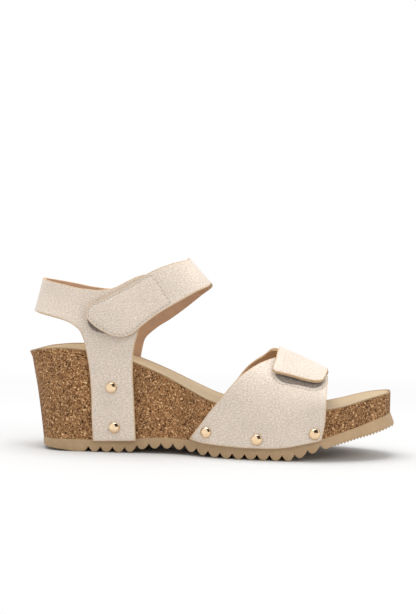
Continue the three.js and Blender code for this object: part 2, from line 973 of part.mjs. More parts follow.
function makeLateralVamp(innerFace, outerFace) {
  const panel = sheet(
    vampPoint,
    VAMP_STATIONS,
    LATERAL_ROUNDS,
    innerFace,
    outerFace,
  );
  const outline = [...LATERAL_VAMP_TOP, ...VAMP_LOW_FRONT, ...VAMP_BACK_EDGE];
  return panel.intersect(prism(outline, -SIDE_REACH, LATERAL_PANEL_EDGE_Y));
}

function makeMedialVamp(innerFace, outerFace) {
  const panel = sheet(
    vampPoint,
    VAMP_STATIONS,
    MEDIAL_ROUNDS,
    innerFace,
    outerFace,
  );
  const outline = [...MEDIAL_VAMP_TOP, ...VAMP_LOW_FRONT, ...VAMP_BACK_EDGE];
  return panel
    .intersect(prism(outline, 0, SIDE_REACH))
    .intersect(besideBend(vampSwing, towards(vampSwing, MEDIAL_FOREFOOT)));
}

function vampStrapBlank(innerFace, outerFace) {
  const wrap = sheet(
    vampPoint,
    TAB_STATIONS,
    TOP_ROUNDS,
    innerFace,
    outerFace,
    vampLift,
  );
  const medial = [...MEDIAL_VAMP_TOP, ...STRAP_MEDIAL_LOW];
  return wrap.intersect(twoSided(VAMP_TAB, medial, VAMP_SEAM_Y));
}

function makeVampStrap(innerFace, outerFace) {
  return vampStrapBlank(innerFace, outerFace)
    .intersect(besideBend(vampSwing, towards(vampSwing, LATERAL_FOREFOOT)))
    .intersect(besideBend(vampPeel, towards(vampPeel, MEDIAL_FOREFOOT)));
}

function makeVampTab(innerFace, outerFace) {
  return vampStrapBlank(innerFace, outerFace).intersect(
    besideBend(vampPeel, towards(vampPeel, LATERAL_FOREFOOT)),
  );
}

function makeVampLoopTape() {
  const low = LEATHER_TOP + LAYER_GAP;
  const tape = sheet(vampPoint, TAB_STATIONS, LATERAL_ROUNDS, low, low + TAPE);
  return tape.intersect(prism(VAMP_LOOP_TAPE, -SIDE_REACH, LOOP_TAPE_EDGE_Y));
}

function makeVampHookTape() {
  const top = -LAYER_GAP;
  const tape = sheet(
    vampPoint,
    TAB_STATIONS,
    TOP_ROUNDS,
    top - TAPE,
    top,
    vampLift,
  );
  return tape.intersect(prism(VAMP_HOOK_TAPE, -SIDE_REACH, HOOK_TAPE_EDGE_Y));
}

// ---------- Rivets ----------

// A rivet's place: a point on the cork's side and the way out of it.
function rivetPlace(x, z, side) {
  const slope = (halfWidth(x + 1, side) - halfWidth(x - 1, side)) / 2;
  const outwards = new THREE.Vector3(-slope, side, 0).normalize();
  const point = new THREE.Vector3(x, side * (halfWidth(x, side) + GAP), z);
  return { point, outwards };
}

// A turned body round a rivet's place; its profile is [radius, distance from the cork].
function turned({ point, outwards }, profile, segments) {
  const shape = profile.map(([radius, out]) => new THREE.Vector2(radius, out));
  const geometry = new THREE.LatheGeometry(shape, segments);
  const turn = new THREE.Quaternion();
  turn.setFromUnitVectors(new THREE.Vector3(0, 1, 0), outwards);
  geometry.applyQuaternion(turn);
  geometry.translate(point.x, point.y, point.z);
  return solidOf(geometry);
}

const HEAD_BASE = LEATHER_TOP + LAYER_GAP + 0.1;

function makeRivet(place) {
  const dome = [0, 0.3, 0.6, 0.85, 1].map((part) => {
    const angle = (1 - part) * (Math.PI / 2);
    return [
      RIVET_HEAD_RADIUS * Math.cos(angle),
      HEAD_BASE + RIVET_HEAD_HEIGHT * Math.sin(angle),
    ];
  });
  const profile = [
    ...dome,
    [NAIL_RADIUS, HEAD_BASE],
    [NAIL_RADIUS, -NAIL_LENGTH + 2],
    [0, -NAIL_LENGTH],
  ];
  return turned(place, profile, 14);
}

function makeNailHole(place) {
  const radius = NAIL_RADIUS + GAP;
  const profile = [
    [0, HEAD_BASE + 3],
    [radius, HEAD_BASE + 3],
    [radius, -NAIL_LENGTH + 2 - GAP],
    [0, -NAIL_LENGTH - 2 * GAP],
  ];
  return turned(place, profile, 8);
}

// ---------- Materials ----------

function material(color, roughness, metalness) {
  return new THREE.MeshStandardMaterial({ color, roughness, metalness });
}

const MAKE_MATERIAL = {
  leather: () => material(0xe6dccb, 0.5, 0),
  lining: () => material(0x8a6348, 0.75, 0),
  tape: () => material(0x6e655c, 0.95, 0),
  cork: () => material(0xb98f62, 0.9, 0),
  suede: () => material(0xc9b08d, 0.95, 0),
  foam: () => material(0xe8e0cc, 0.9, 0),
  rubber: () => material(0xa08a68, 0.8, 0),
  gold: () => material(0xe2c78f, 0.2, 1),
};

// ---------- Assembly ----------

const placesOf = (list, side) => list.map(([x, z]) => rivetPlace(x, z, side));
const rivetSets = {
  lateral_leg_rivet: placesOf(LATERAL_LEG_RIVETS, -1),
  lateral_vamp_rivet: placesOf(VAMP_RIVETS, -1),
  medial_leg_rivet: placesOf(MEDIAL_LEG_RIVETS, 1),
  medial_vamp_rivet: placesOf(VAMP_RIVETS, 1),
};
const nailHoles = wasm.Manifold.union(
  Object.values(rivetSets).flat().map(makeNailHole),
);

const leatherFaces = [LINING + LAYER_GAP, LEATHER_TOP];
const liningFaces = [0, LINING];
const pieces = [
  ["outsole", makeOutsole(), "rubber"],
  ["wedge", makeWedge().subtract(nailHoles), "cork"],
  ["cushion", makeCushion(), "foam"],
  ["footbed_cover", makeCover(), "suede"],
  ["quarter_leather", makeQuarter(...leatherFaces).subtract(nailHoles), "leather"],
  ["quarter_lining", makeQuarter(...liningFaces).subtract(nailHoles), "lining"],
  ["ankle_strap_leather", makeAnkleStrap(...leatherFaces), "leather"],
  ["ankle_strap_lining", makeAnkleStrap(...liningFaces), "lining"],
  ["ankle_tab_leather", makeAnkleTab(...leatherFaces), "leather"],
  ["ankle_tab_lining", makeAnkleTab(...liningFaces), "lining"],
  ["ankle_hook_tape", makeAnkleHookTape(), "tape"],
  ["ankle_loop_tape", makeAnkleLoopTape(), "tape"],
  ["lateral_vamp_leather", makeLateralVamp(...leatherFaces).subtract(nailHoles), "leather"],
  ["lateral_vamp_lining", makeLateralVamp(...liningFaces).subtract(nailHoles), "lining"],
  ["medial_vamp_leather", makeMedialVamp(...leatherFaces).subtract(nailHoles), "leather"],
  ["medial_vamp_lining", makeMedialVamp(...liningFaces).subtract(nailHoles), "lining"],
  ["vamp_strap_leather", makeVampStrap(...leatherFaces), "leather"],
  ["vamp_strap_lining", makeVampStrap(...liningFaces), "lining"],
  ["vamp_tab_leather", makeVampTab(...leatherFaces), "leather"],
  ["vamp_tab_lining", makeVampTab(...liningFaces), "lining"],
  ["vamp_hook_tape", makeVampHookTape(), "tape"],
  ["vamp_loop_tape", makeVampLoopTape(), "tape"],
];
for (const [name, places] of Object.entries(rivetSets)) {
  places.forEach((place, i) => {
    pieces.push([`${name}_${i + 1}`, makeRivet(place), "gold"]);
  });
}

// The frame's origin is the middle of the base of the whole object's box.
const boxes = pieces.map(([, solid]) => solid.boundingBox());
const lowest = (axis) => Math.min(...boxes.map((box) => box.min[axis]));
const highest = (axis) => Math.max(...boxes.map((box) => box.max[axis]));
const middleX = (lowest(0) + highest(0)) / 2;
const middleY = (lowest(1) + highest(1)) / 2;

function toMesh(name, solid, slot) {
  const mesh = solid.getMesh();
  const geometry = new THREE.BufferGeometry();
  geometry.setAttribute(
    "position",
    new THREE.BufferAttribute(new Float32Array(mesh.vertProperties), 3),
  );
  geometry.setIndex(new THREE.BufferAttribute(new Uint32Array(mesh.triVerts), 1));
  geometry.translate(-middleX, -middleY, -lowest(2));
  const made = new THREE.Mesh(geometry, MAKE_MATERIAL[slot]());
  made.name = name;
  return made;
}

const group = new THREE.Group();
group.name = "wedge_sandal";
for (const [name, solid, slot] of pieces) group.add(toMesh(name, solid, slot));

export default group;
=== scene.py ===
"""A wedge sandal: cork wedge on a scalloped rubber sole, with a leather ankle quarter and vamp,
each closed by a hook-and-loop strap, riveted to the cork. Lengths in tables are millimetres."""

import math

import bmesh
import bpy
import numpy as np
from mathutils import Matrix, Quaternion, Vector
from mathutils.geometry import delaunay_2d_cdt


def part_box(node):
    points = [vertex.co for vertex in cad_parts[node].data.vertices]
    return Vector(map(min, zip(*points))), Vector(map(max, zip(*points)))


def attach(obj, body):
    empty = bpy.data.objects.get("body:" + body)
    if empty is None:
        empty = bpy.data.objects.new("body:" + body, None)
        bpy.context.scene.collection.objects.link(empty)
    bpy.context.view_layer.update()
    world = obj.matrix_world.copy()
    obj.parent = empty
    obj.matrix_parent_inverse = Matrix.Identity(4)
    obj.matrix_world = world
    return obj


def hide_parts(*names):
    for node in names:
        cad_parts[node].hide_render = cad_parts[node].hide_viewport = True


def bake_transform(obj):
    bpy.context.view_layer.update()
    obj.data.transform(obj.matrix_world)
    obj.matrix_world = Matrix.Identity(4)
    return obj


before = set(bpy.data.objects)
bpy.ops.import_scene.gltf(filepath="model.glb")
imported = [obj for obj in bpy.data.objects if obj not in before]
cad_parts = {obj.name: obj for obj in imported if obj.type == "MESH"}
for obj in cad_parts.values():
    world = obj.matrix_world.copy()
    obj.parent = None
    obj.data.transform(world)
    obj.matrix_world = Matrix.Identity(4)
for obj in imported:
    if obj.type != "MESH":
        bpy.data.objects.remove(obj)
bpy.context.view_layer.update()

# ---------------------------------------------------------------------------------------------
# Camera: level with the sandal and a little in front of its middle, looking at the outer side,
# and held very slightly crooked.

LOOK_AT = Vector((-0.0002, 0.0021, 0.0584))
CAMERA_TURN = math.radians(6)
CAMERA_RISE = math.radians(4.2)
CAMERA_ROLL = math.radians(1)
CAMERA_DISTANCE = 1.0
FOCAL_LENGTH = 84.6

camera_data = bpy.data.cameras.new("camera")
camera_data.lens = FOCAL_LENGTH
camera_data.sensor_width = 36
camera_data.shift_x = -0.004
camera_data.shift_y = 0.096
camera_data.clip_start = 0.05
camera_data.clip_end = 20
camera = bpy.data.objects.new("camera", camera_data)
bpy.context.scene.collection.objects.link(camera)
backwards = Vector(
    (
        math.sin(CAMERA_TURN) * math.cos(CAMERA_RISE),
        -math.cos(CAMERA_TURN) * math.cos(CAMERA_RISE),
        math.sin(CAMERA_RISE),
    )
)
camera.location = LOOK_AT + backwards * CAMERA_DISTANCE
level = (-backwards).to_track_quat("-Z", "Y")
camera.rotation_mode = "QUATERNION"
camera.rotation_quaternion = level @ Quaternion((0, 0, 1), CAMERA_ROLL)
bpy.context.scene.camera = camera

# ---------------------------------------------------------------------------------------------
# Studio: a paper floor that glows white away from the sandal and runs out into a white surround,
# a broad soft light above, a weaker one ahead of the toe, and a black card that only shows in
# reflections.


def plain_material(name, colour, roughness):
    """A material with one Principled shader, and that shader."""
    material = bpy.data.materials.new(name)
    material.use_nodes = True
    shader = material.node_tree.nodes["Principled BSDF"]
    shader.inputs["Base Color"].default_value = (*colour, 1)
    shader.inputs["Roughness"].default_value = roughness
    return material, shader


def only_select(thing):
    """Makes one object the only one that is selected, and the active one."""
    bpy.ops.object.select_all(action="DESELECT")
    thing.select_set(True)
    bpy.context.view_layer.objects.active = thing


def add_node(material, kind, inputs=None, **settings):
    """Adds a shader node. Each input is a number, a colour or another node's socket."""
    made = material.node_tree.nodes.new(kind)
    for setting, value in settings.items():
        setattr(made, setting, value)
    for key, value in (inputs or {}).items():
        if isinstance(value, bpy.types.NodeSocket):
            material.node_tree.links.new(value, made.inputs[key])
        else:
            made.inputs[key].default_value = value
    return made


FLOOR_WIDTH = 8
LIT_FROM = 0.30
LIT_FULLY = 0.75
PAPER_GREY = (0.6, 0.6, 0.6)
CARD_WIDTH = 1.15
CARD_DISTANCE = 0.95

bpy.ops.object.select_all(action="DESELECT")
bpy.ops.mesh.primitive_plane_add(size=FLOOR_WIDTH, location=(0, 0, 0))
floor = bpy.context.active_object
floor.name = "floor"
floor_paper, paper_shader = plain_material("floor_paper", PAPER_GREY, 0.9)
from_middle = add_node(floor_paper, "ShaderNodeVectorMath", {
    0: add_node(floor_paper, "ShaderNodeTexCoord").outputs["Object"],
}, operation="LENGTH").outputs["Value"]
glow_share = add_node(floor_paper, "ShaderNodeMapRange", {
    "Value": from_middle, "From Min": LIT_FROM, "From Max": LIT_FULLY,
}, interpolation_type="SMOOTHSTEP").outputs["Result"]
glow = add_node(floor_paper, "ShaderNodeEmission", {"Color": (1, 1, 1, 1), "Strength": 1.0})
lit_paper = add_node(floor_paper, "ShaderNodeMixShader", {
    0: glow_share, 1: paper_shader.outputs[0], 2: glow.outputs[0],
})
paper_out = floor_paper.node_tree.nodes["Material Output"]
floor_paper.node_tree.links.new(lit_paper.outputs[0], paper_out.inputs["Surface"])
floor.data.materials.append(floor_paper)

bpy.ops.mesh.primitive_plane_add(size=CARD_WIDTH)
black_card = bpy.context.active_object
black_card.name = "black_card"
card_way = Vector((0.46, -0.58, 0.67)).normalized()
black_card.location = LOOK_AT + card_way * CARD_DISTANCE
black_card.rotation_mode = "QUATERNION"
black_card.rotation_quaternion = card_way.to_track_quat("Z", "Y")
card_black, _ = plain_material("card_black", (0.01, 0.01, 0.01), 0.9)
black_card.data.materials.append(card_black)
black_card.visible_camera = False
black_card.visible_diffuse = False
black_card.visible_shadow = False

surround = bpy.data.worlds.new("surround")
surround.use_nodes = True
surround.node_tree.nodes["Background"].inputs["Color"].default_value = (1, 1, 1, 1)
surround.node_tree.nodes["Background"].inputs["Strength"].default_value = 1.0
bpy.context.scene.world = surround
bpy.context.scene.view_settings.view_transform = "Standard"


def soft_light(name, place, size, power):
    """A square white light panel that faces the sandal."""
    panel = bpy.data.lights.new(name, "AREA")
    panel.shape = "SQUARE"
    panel.size = size
    panel.energy = power
    lamp = bpy.data.objects.new(name, panel)
    lamp.location = place
    lamp.rotation_mode = "QUATERNION"
    lamp.rotation_quaternion = (Vector(place) - LOOK_AT).to_track_quat("Z", "Y")
    bpy.context.scene.collection.objects.link(lamp)


soft_light("panel_above", (-0.1, 0.0, 1.3), 0.9, 12.5)
soft_light("panel_right", (1.0, -0.9, 0.9), 0.5, 4.0)

# ---------------------------------------------------------------------------------------------
# Outsole: one moulding of khaki rubber, glued under the cork. Scalloped lugs run across it from
# the heel block to the ball, and its smooth toe turns up, with a finely notched lower edge.

MILLIMETRE = 0.001
SOLE_START = 1
SOLE_END = 251.4
RIM_HEIGHT = [
    (0, 66.5), (12, 69.5), (30, 70.8), (46, 69.6), (72, 63.2), (95, 54.4), (116, 44.3),
    (130, 38), (150, 32.4), (172, 30.7), (195, 32), (217, 36), (237, 41.8), (251, 44.9),
]
RUBBER_TOP = [
    (0, 8.3), (45, 8.4), (70, 9), (97, 11.2), (115, 10.8), (138, 9.4), (165, 9.2),
    (187, 11.4), (207, 15.4), (225, 21.2), (240, 26.4), (252, 30.4),
]
GROUND_SIDE = [
    (0, 4), (11.8, 3.0), (17.5, 2.2), (28, 1.2), (40, 0), (73, 0), (86, 2.8), (100, 3.7), (112, 3.3),
    (126, 1.2), (140, 0), (184, 0), (195, 3.2), (206, 7.6), (216, 10.4), (231, 14.9),
    (240, 17.1), (247, 19.2), (255, 21.6),
]
LATERAL_HALF = [
    (0, 30.5), (88, 30.5), (105, 31.2), (118, 35), (130, 40.2), (142, 43.8), (158, 46.6),
    (178, 47.8), (200, 46.2), (225, 41), (251, 36),
]
MEDIAL_HALF = [
    (0, 29.5), (82, 29.5), (97, 29.8), (112, 32.5), (128, 36.8), (150, 41.5), (175, 43.5),
    (197, 42.6), (217, 39), (236, 34.5), (251, 32),
]
HEEL_ROUNDING = 32
TOE_ROUNDING = 52
ROUNDING_POWER = 2.3
HEEL_LEAN = 11.2
HEEL_LEAN_REACH = 48
HEEL_LEAN_POWER = 0.72
FLARE_FROM = 190
TOE_FLARE = 2.8
SIDE_FLARE = 0.035
SIDE_FLARE_FULL_AT = 235
LUG_PITCH = 8.31
LUG_COUNT = 19
FIRST_GROOVE_X = 47.6
GROOVE_DEPTH = 3.8
LUG_FULLNESS = 2.1
TOE_NOTCH_PITCH = 2.1
TOE_NOTCH_DEPTH = 1.4
TOE_NOTCHES_SET_IN = (209, 214)
EDGE_ROUNDING = 0.7

wedge_low, wedge_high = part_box("wedge")
heel_x = wedge_low.x / MILLIMETRE - (SOLE_START + 0.1)
widest_lateral = max(width for _, width in LATERAL_HALF)
widest_medial = max(width for _, width in MEDIAL_HALF)
middle_y = (wedge_low.y + wedge_high.y) / 2 / MILLIMETRE + (widest_lateral - widest_medial) / 2
ORIGIN = np.array((heel_x, middle_y, 0))


def curve(rows, at, column=1):
    """A smooth line through rows of (position, value), without overshoot between them."""
    table = np.array(rows, float)
    x, y = table[:, 0], table[:, column]
    slope = np.diff(y) / np.diff(x)
    product = slope[:-1] * slope[1:]
    total = slope[:-1] + slope[1:]
    middle = np.where(product > 0, 2 * product / np.where(total == 0, 1, total), 0)
    tangent = np.concatenate((slope[:1], middle, slope[-1:]))
    at = np.clip(at, x[0], x[-1])
    i = np.clip(np.searchsorted(x, at, side="right") - 1, 0, len(x) - 2)
    width, rise = x[i + 1] - x[i], y[i + 1] - y[i]
    t = (at - x[i]) / width
    a = tangent[i] * width - rise
    b = -tangent[i + 1] * width + rise
    return y[i] + rise * t + t * (1 - t) * ((1 - t) * a + t * b)


def smooth_step(start, end, at):
    t = np.clip((at - start) / (end - start), 0, 1)
    return t * t * (3 - 2 * t)


def end_rounding(distance, reach):
    """How wide an end is: 0 at its tip, 1 from the given reach on."""
    rest = (1 - np.clip(distance / reach, 0, 1)) ** ROUNDING_POWER
    return (1 - rest) ** (1 / ROUNDING_POWER)


def half_width(x, side, inset=0.0):
    """Distance of the sole's side from its middle line, on the outer (-1) or inner (1) side."""
    body = curve(LATERAL_HALF if side < 0 else MEDIAL_HALF, x) - inset
    heel = end_rounding(x - SOLE_START - inset, HEEL_ROUNDING - inset)
    toe = end_rounding(SOLE_END - inset - x, TOE_ROUNDING - inset)
    return body * heel * toe


def lean(x, level):
    """How far the back of the heel moves in, at a level from 0 at the rubber to 1 at the rim."""
    depth = np.clip(1 - level, 0, 1) ** HEEL_LEAN_POWER
    reach = np.clip(1 - x / HEEL_LEAN_REACH, 0, 1)
    return HEEL_LEAN * depth * reach * reach


def ground_line(x):
    """Height of the outsole's underside: lugs, smooth heel block and notched toe."""
    base = curve(GROUND_SIDE, x)
    count = (x - FIRST_GROOVE_X) / LUG_PITCH
    from_middle = np.clip(np.abs((count % 1) - 0.5) * 2, 0, 1)
    before = np.clip(1 + count * 2, 0, 1)
    after = np.clip(1 - (count - LUG_COUNT) * 2, 0, 1)
    share = np.where(count < 0, before, np.where(count > LUG_COUNT, after, from_middle))
    lugs = share**LUG_FULLNESS
    notch = np.abs(((x / TOE_NOTCH_PITCH) % 1) - 0.5) * 2
    notched = smooth_step(*TOE_NOTCHES_SET_IN, x) * TOE_NOTCH_DEPTH * notch
    return base + GROOVE_DEPTH * lugs + notched


def stations(start, end, count):
    """Places along the sole, closer together at its two ends."""
    share = np.linspace(0, 1, count + 1)
    return start + (end - start) * (1 - np.cos(np.pi * share)) / 2


def sleeve(name, rings):
    """A closed body from rings of points: a grid is added, wrapped, sewn and capped."""
    rings = np.array(rings, float)
    closed = np.concatenate((rings, rings[:, :1]), axis=1)
    bpy.ops.object.select_all(action="DESELECT")
    bpy.ops.mesh.primitive_grid_add(
        x_subdivisions=closed.shape[1] - 1, y_subdivisions=closed.shape[0] - 1, size=1
    )
    body = bpy.context.active_object
    body.name = name
    points = (closed.reshape(-1, 3) + ORIGIN) * MILLIMETRE
    body.data.vertices.foreach_set("co", points.astype(np.float32).ravel())
    bpy.ops.object.mode_set(mode="EDIT")
    bpy.ops.mesh.select_all(action="SELECT")
    bpy.ops.mesh.remove_doubles(threshold=2e-6)
    bpy.ops.mesh.select_all(action="DESELECT")
    bpy.ops.mesh.select_mode(type="EDGE")
    bpy.ops.mesh.select_non_manifold(extend=False)
    bpy.ops.mesh.fill_holes(sides=0)
    bpy.ops.mesh.select_all(action="SELECT")
    bpy.ops.mesh.normals_make_consistent(inside=False)
    bpy.ops.object.mode_set(mode="OBJECT")
    body.data.uv_layers.remove(body.data.uv_layers[0])
    return body


def round_edges(piece, width, segments, angle):
    """Rounds the piece's sharp edges and lets its other faces shade as one surface."""
    bevel = piece.modifiers.new("edge_rounding", "BEVEL")
    bevel.width = width * MILLIMETRE
    bevel.segments = segments
    bevel.limit_method = "ANGLE"
    bevel.angle_limit = math.radians(angle)
    only_select(piece)
    bpy.ops.object.modifier_apply(modifier=bevel.name)
    bpy.ops.object.shade_smooth_by_angle(angle=math.radians(angle))


def outsole_ring(x):
    shift = lean(x, 0)
    flare = TOE_FLARE * smooth_step(FLARE_FROM, SOLE_END, x)
    spread = 1 + SIDE_FLARE * smooth_step(FLARE_FROM, SIDE_FLARE_FULL_AT, x)
    lateral, medial = -half_width(x, -1), half_width(x, 1)
    top = curve(RUBBER_TOP, x + shift)
    bottom = ground_line(x + shift + flare)
    rounding = min(EDGE_ROUNDING, medial / 3)
    side = []
    for part in (0, 0.35, 0.7):
        height = top + (bottom + rounding - top) * part
        side.append((x + shift + flare * part, part, height))
    side.append((x + shift + flare, 1, bottom + rounding))
    ring = [(px, lateral * (1 + (spread - 1) * part), z) for px, part, z in side]
    ring.append((x + shift + flare, lateral * spread + rounding * 0.3, bottom + rounding * 0.3))
    ring.append((x + shift + flare, lateral * spread + rounding, bottom))
    for part in (0.5, 0):
        ring.append((x + shift + flare, (lateral * spread + rounding) * part, bottom))
    ring.append((x + shift + flare, (medial * spread - rounding) * 0.5, bottom))
    ring.append((x + shift + flare, medial * spread - rounding, bottom))
    ring.append((x + shift + flare, medial * spread - rounding * 0.3, bottom + rounding * 0.3))
    ring += [(px, medial * (1 + (spread - 1) * part), z) for px, part, z in side[::-1]]
    for part in (0.6, 0, -0.6):
        ring.append((x + shift, part * (medial if part > 0 else -lateral), top))
    return ring


# The rings crowd together towards both tips and lie an even step apart between them.
RING_STEP = 0.41
heel_end = SOLE_START + stations(0, 60, 60)[:30]
toe_end = SOLE_END - stations(0, 30, 90)[:45][::-1]
along = np.arange(heel_end[-1] + 0.45, toe_end[0] - 0.1, RING_STEP)
outsole = sleeve("outsole_rubber_moulding", [outsole_ring(x) for x in
                 np.concatenate((heel_end, along, toe_end))[1:-1]])
only_select(outsole)
bpy.ops.object.shade_smooth_by_angle(angle=math.radians(50))


def link(material, socket, shader, name):
    material.node_tree.links.new(socket, shader.inputs[name])


def blended(material, share, first, second, way="MIX"):
    """A colour between two colours, by a share that is a number or a socket."""
    made = material.node_tree.nodes.new("ShaderNodeMix")
    made.data_type = "RGBA"
    made.blend_type = way
    for index, value in ((0, share), (6, first), (7, second)):
        if isinstance(value, bpy.types.NodeSocket):
            material.node_tree.links.new(value, made.inputs[index])
        else:
            made.inputs[index].default_value = value if index == 0 else (*value, 1)
    return made.outputs[2]


def ramp(material, socket, stops):
    """A colour ramp; stops are (position, colour)."""
    made = add_node(material, "ShaderNodeValToRGB", {"Fac": socket})
    elements = made.color_ramp.elements
    while len(elements) < len(stops):
        elements.new(1)
    for element, (position, colour) in zip(elements, stops):
        element.position = position
        element.color = (*colour, 1)
    return made.outputs["Color"]


def grey(value):
    return (value, value, value)


def object_place(material):
    return add_node(material, "ShaderNodeTexCoord").outputs["Object"]


def noise(material, where, scale, detail=3.0, roughness=0.6):
    settings = {"Vector": where, "Scale": scale, "Detail": detail, "Roughness": roughness}
    return add_node(material, "ShaderNodeTexNoise", settings).outputs["Fac"]


def raised(material, height, depth, strength=1.0, under=None):
    """A bump of the given depth in millimetres, over another bump if one is given."""
    inputs = {"Height": height, "Distance": depth * MILLIMETRE, "Strength": strength}
    if under is not None:
        inputs["Normal"] = under
    return add_node(material, "ShaderNodeBump", inputs).outputs["Normal"]


rubber, rubber_shader = plain_material("khaki_rubber", (0.42, 0.29, 0.175), 0.62)
place = object_place(rubber)
cloudy = ramp(rubber, noise(rubber, place, 28, 5), [
    (0.32, (0.335, 0.218, 0.112)), (0.68, (0.415, 0.28, 0.152)),
])
scuffs = ramp(rubber, noise(rubber, place, 260, 4, 0.75), [(0.5, grey(0)), (0.78, grey(0.5))])
link(rubber, blended(rubber, scuffs, cloudy, (0.50, 0.36, 0.22)), rubber_shader, "Base Color")
matt = ramp(rubber, noise(rubber, place, 75), [(0.3, grey(0.5)), (0.7, grey(0.74))])
link(rubber, matt, rubber_shader, "Roughness")
fine = raised(rubber, noise(rubber, place, 1500, 2), 0.06, 0.6)
link(rubber, raised(rubber, noise(rubber, place, 160), 0.12, 0.5, fine), rubber_shader, "Normal")
outsole.data.materials.append(rubber)
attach(outsole, "sandal")
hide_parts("outsole")

# ---------------------------------------------------------------------------------------------
# Wedge: one block of pressed cork granules, ground to shape after moulding, so that its side
# shows cut granules from dark bark to pale cork. A recess in its top takes the cushion.

COVER_THICKNESS = 0.8
GAP = 0.3
DISH_DEPTH = [(0, 2), (40, 4.5), (90, 2.5), (130, 1.6), (251, 1.4)]
SEAT_TILT = 1.2
TILT_SETS_IN = (50, 80)
TILT_FADES = (190, 230)
RECESS_INSET = 8.7
RECESS_DEPTH = 3.6
CORK_LEVELS = 18
GRANULE = 0.95


def tilt(x):
    """How far the outer rim is raised, and the inner one lowered, in the sole's middle part."""
    return SEAT_TILT * smooth_step(*TILT_SETS_IN, x) * (1 - smooth_step(*TILT_FADES, x))


def seat_height(x, y):
    """Height of the footbed's face, whose middle lies lower than its rim."""
    half = np.maximum(1, half_width(x, 1 if y > 0 else -1))
    across = min(1, abs(y) / half)
    dish = curve(DISH_DEPTH, x) * (1 - across**3)
    return curve(RIM_HEIGHT, x) - dish - tilt(x) * across * np.sign(y)


def wedge_ring(x):
    bottom = curve(RUBBER_TOP, x)
    walls = []
    for side in (-1, 1):
        wall = []
        top = curve(RIM_HEIGHT, x) - side * tilt(x) - COVER_THICKNESS - GAP / 2
        for share in np.linspace(0, 1, CORK_LEVELS + 1):
            z = bottom + (top - bottom) * share
            level = (z - bottom) / (curve(RIM_HEIGHT, x) - bottom)
            inwards = 0 if share == 1 else lean(x, level)
            wall.append((x + inwards, side * half_width(x, side), z))
        walls.append(wall)
    lateral, medial = walls[0], walls[1][::-1]
    recessed = SOLE_START + RECESS_INSET < x < SOLE_END - RECESS_INSET
    recess = RECESS_DEPTH if recessed else 0
    seat = []
    for side, parts in ((-1, (1, 0.6, 0.25)), (1, (0.25, 0.6, 1))):
        edge = max(0.3, half_width(x, side, RECESS_INSET)) if recessed else half_width(x, side) * 0.7
        floor_points = []
        for part in parts:
            y = side * edge * part
            floor_points.append((x, y, seat_height(x, y) - COVER_THICKNESS - GAP / 2 - recess))
        y = side * min(edge + 0.2, half_width(x, side) * 0.95)
        lip = (x, y, seat_height(x, y) - COVER_THICKNESS - GAP / 2)
        seat += [lip, *floor_points] if side < 0 else [*floor_points, lip]
    across = [(x + lean(x, 0), part * half_width(x, 1 if part > 0 else -1), bottom)
              for part in (0.6, 0, -0.6)]
    return [*lateral, *seat, *medial, *across]


wedge = sleeve("cork_wedge_block", [wedge_ring(x) for x in
               stations(SOLE_START, SOLE_END, 190)[1:-1]])
only_select(wedge)
bpy.ops.object.shade_smooth_by_angle(angle=math.radians(38))

cork, cork_shader = plain_material("pressed_cork", (0.30, 0.165, 0.08), 0.85)
cork_shader.inputs["Specular IOR Level"].default_value = 0.25
place = object_place(cork)
wander = add_node(cork, "ShaderNodeTexNoise", {"Vector": place, "Scale": 420.0, "Detail": 2.0})
bent = add_node(cork, "ShaderNodeMix", {0: 0.0007, 4: place, 5: wander.outputs["Color"]},
                data_type="VECTOR")
bent_place = bent.outputs[1]
granules = add_node(cork, "ShaderNodeTexVoronoi", {
    "Vector": bent_place, "Scale": 1 / (GRANULE * MILLIMETRE), "Randomness": 1.0,
})
crumbs = add_node(cork, "ShaderNodeTexVoronoi", {
    "Vector": bent_place, "Scale": 2.3 / (GRANULE * MILLIMETRE), "Randomness": 1.0,
})
borders = add_node(cork, "ShaderNodeTexVoronoi", {
    "Vector": bent_place, "Scale": 1 / (GRANULE * MILLIMETRE), "Randomness": 1.0,
}, feature="DISTANCE_TO_EDGE")


def one_channel(material, colour, channel):
    split = add_node(material, "ShaderNodeSeparateColor", {"Color": colour})
    return split.outputs[channel]


GRANULE_TONES = [
    (0.0, (0.045, 0.016, 0.005)), (0.12, (0.12, 0.048, 0.015)), (0.3, (0.22, 0.098, 0.034)),
    (0.52, (0.31, 0.145, 0.055)), (0.74, (0.41, 0.205, 0.083)), (0.9, (0.60, 0.345, 0.16)),
    (1.0, (0.85, 0.56, 0.29)),
]
large_tone = ramp(cork, one_channel(cork, granules.outputs["Color"], "Red"), GRANULE_TONES)
small_tone = ramp(cork, one_channel(cork, crumbs.outputs["Color"], "Green"), GRANULE_TONES)
which = ramp(cork, one_channel(cork, granules.outputs["Color"], "Blue"),
             [(0.45, grey(0)), (0.55, grey(1))])
tone = blended(cork, which, large_tone, small_tone)
broad = ramp(cork, noise(cork, place, 55, 4), [(0.3, grey(0.78)), (0.7, grey(1.12))])
tone = blended(cork, 1.0, tone, broad, "MULTIPLY")
joint_shade = ramp(cork, borders.outputs["Distance"], [(0.0, grey(0.5)), (0.09, grey(1))])
tone = blended(cork, 0.75, tone, joint_shade, "MULTIPLY")
link(cork, tone, cork_shader, "Base Color")
pits = ramp(cork, noise(cork, place, 620, 3, 0.7), [(0.3, grey(0)), (0.46, grey(1))])
pitted = raised(cork, pits, 0.22, 0.8)
edges = ramp(cork, borders.outputs["Distance"], [(0.0, grey(0)), (0.14, grey(1))])
link(cork, raised(cork, edges, 0.16, 0.9, pitted), cork_shader, "Normal")
dry = ramp(cork, noise(cork, place, 900), [(0.3, grey(0.68)), (0.7, grey(0.95))])
link(cork, dry, cork_shader, "Roughness")
wedge.data.materials.append(cork)
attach(wedge, "sandal")
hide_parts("wedge")

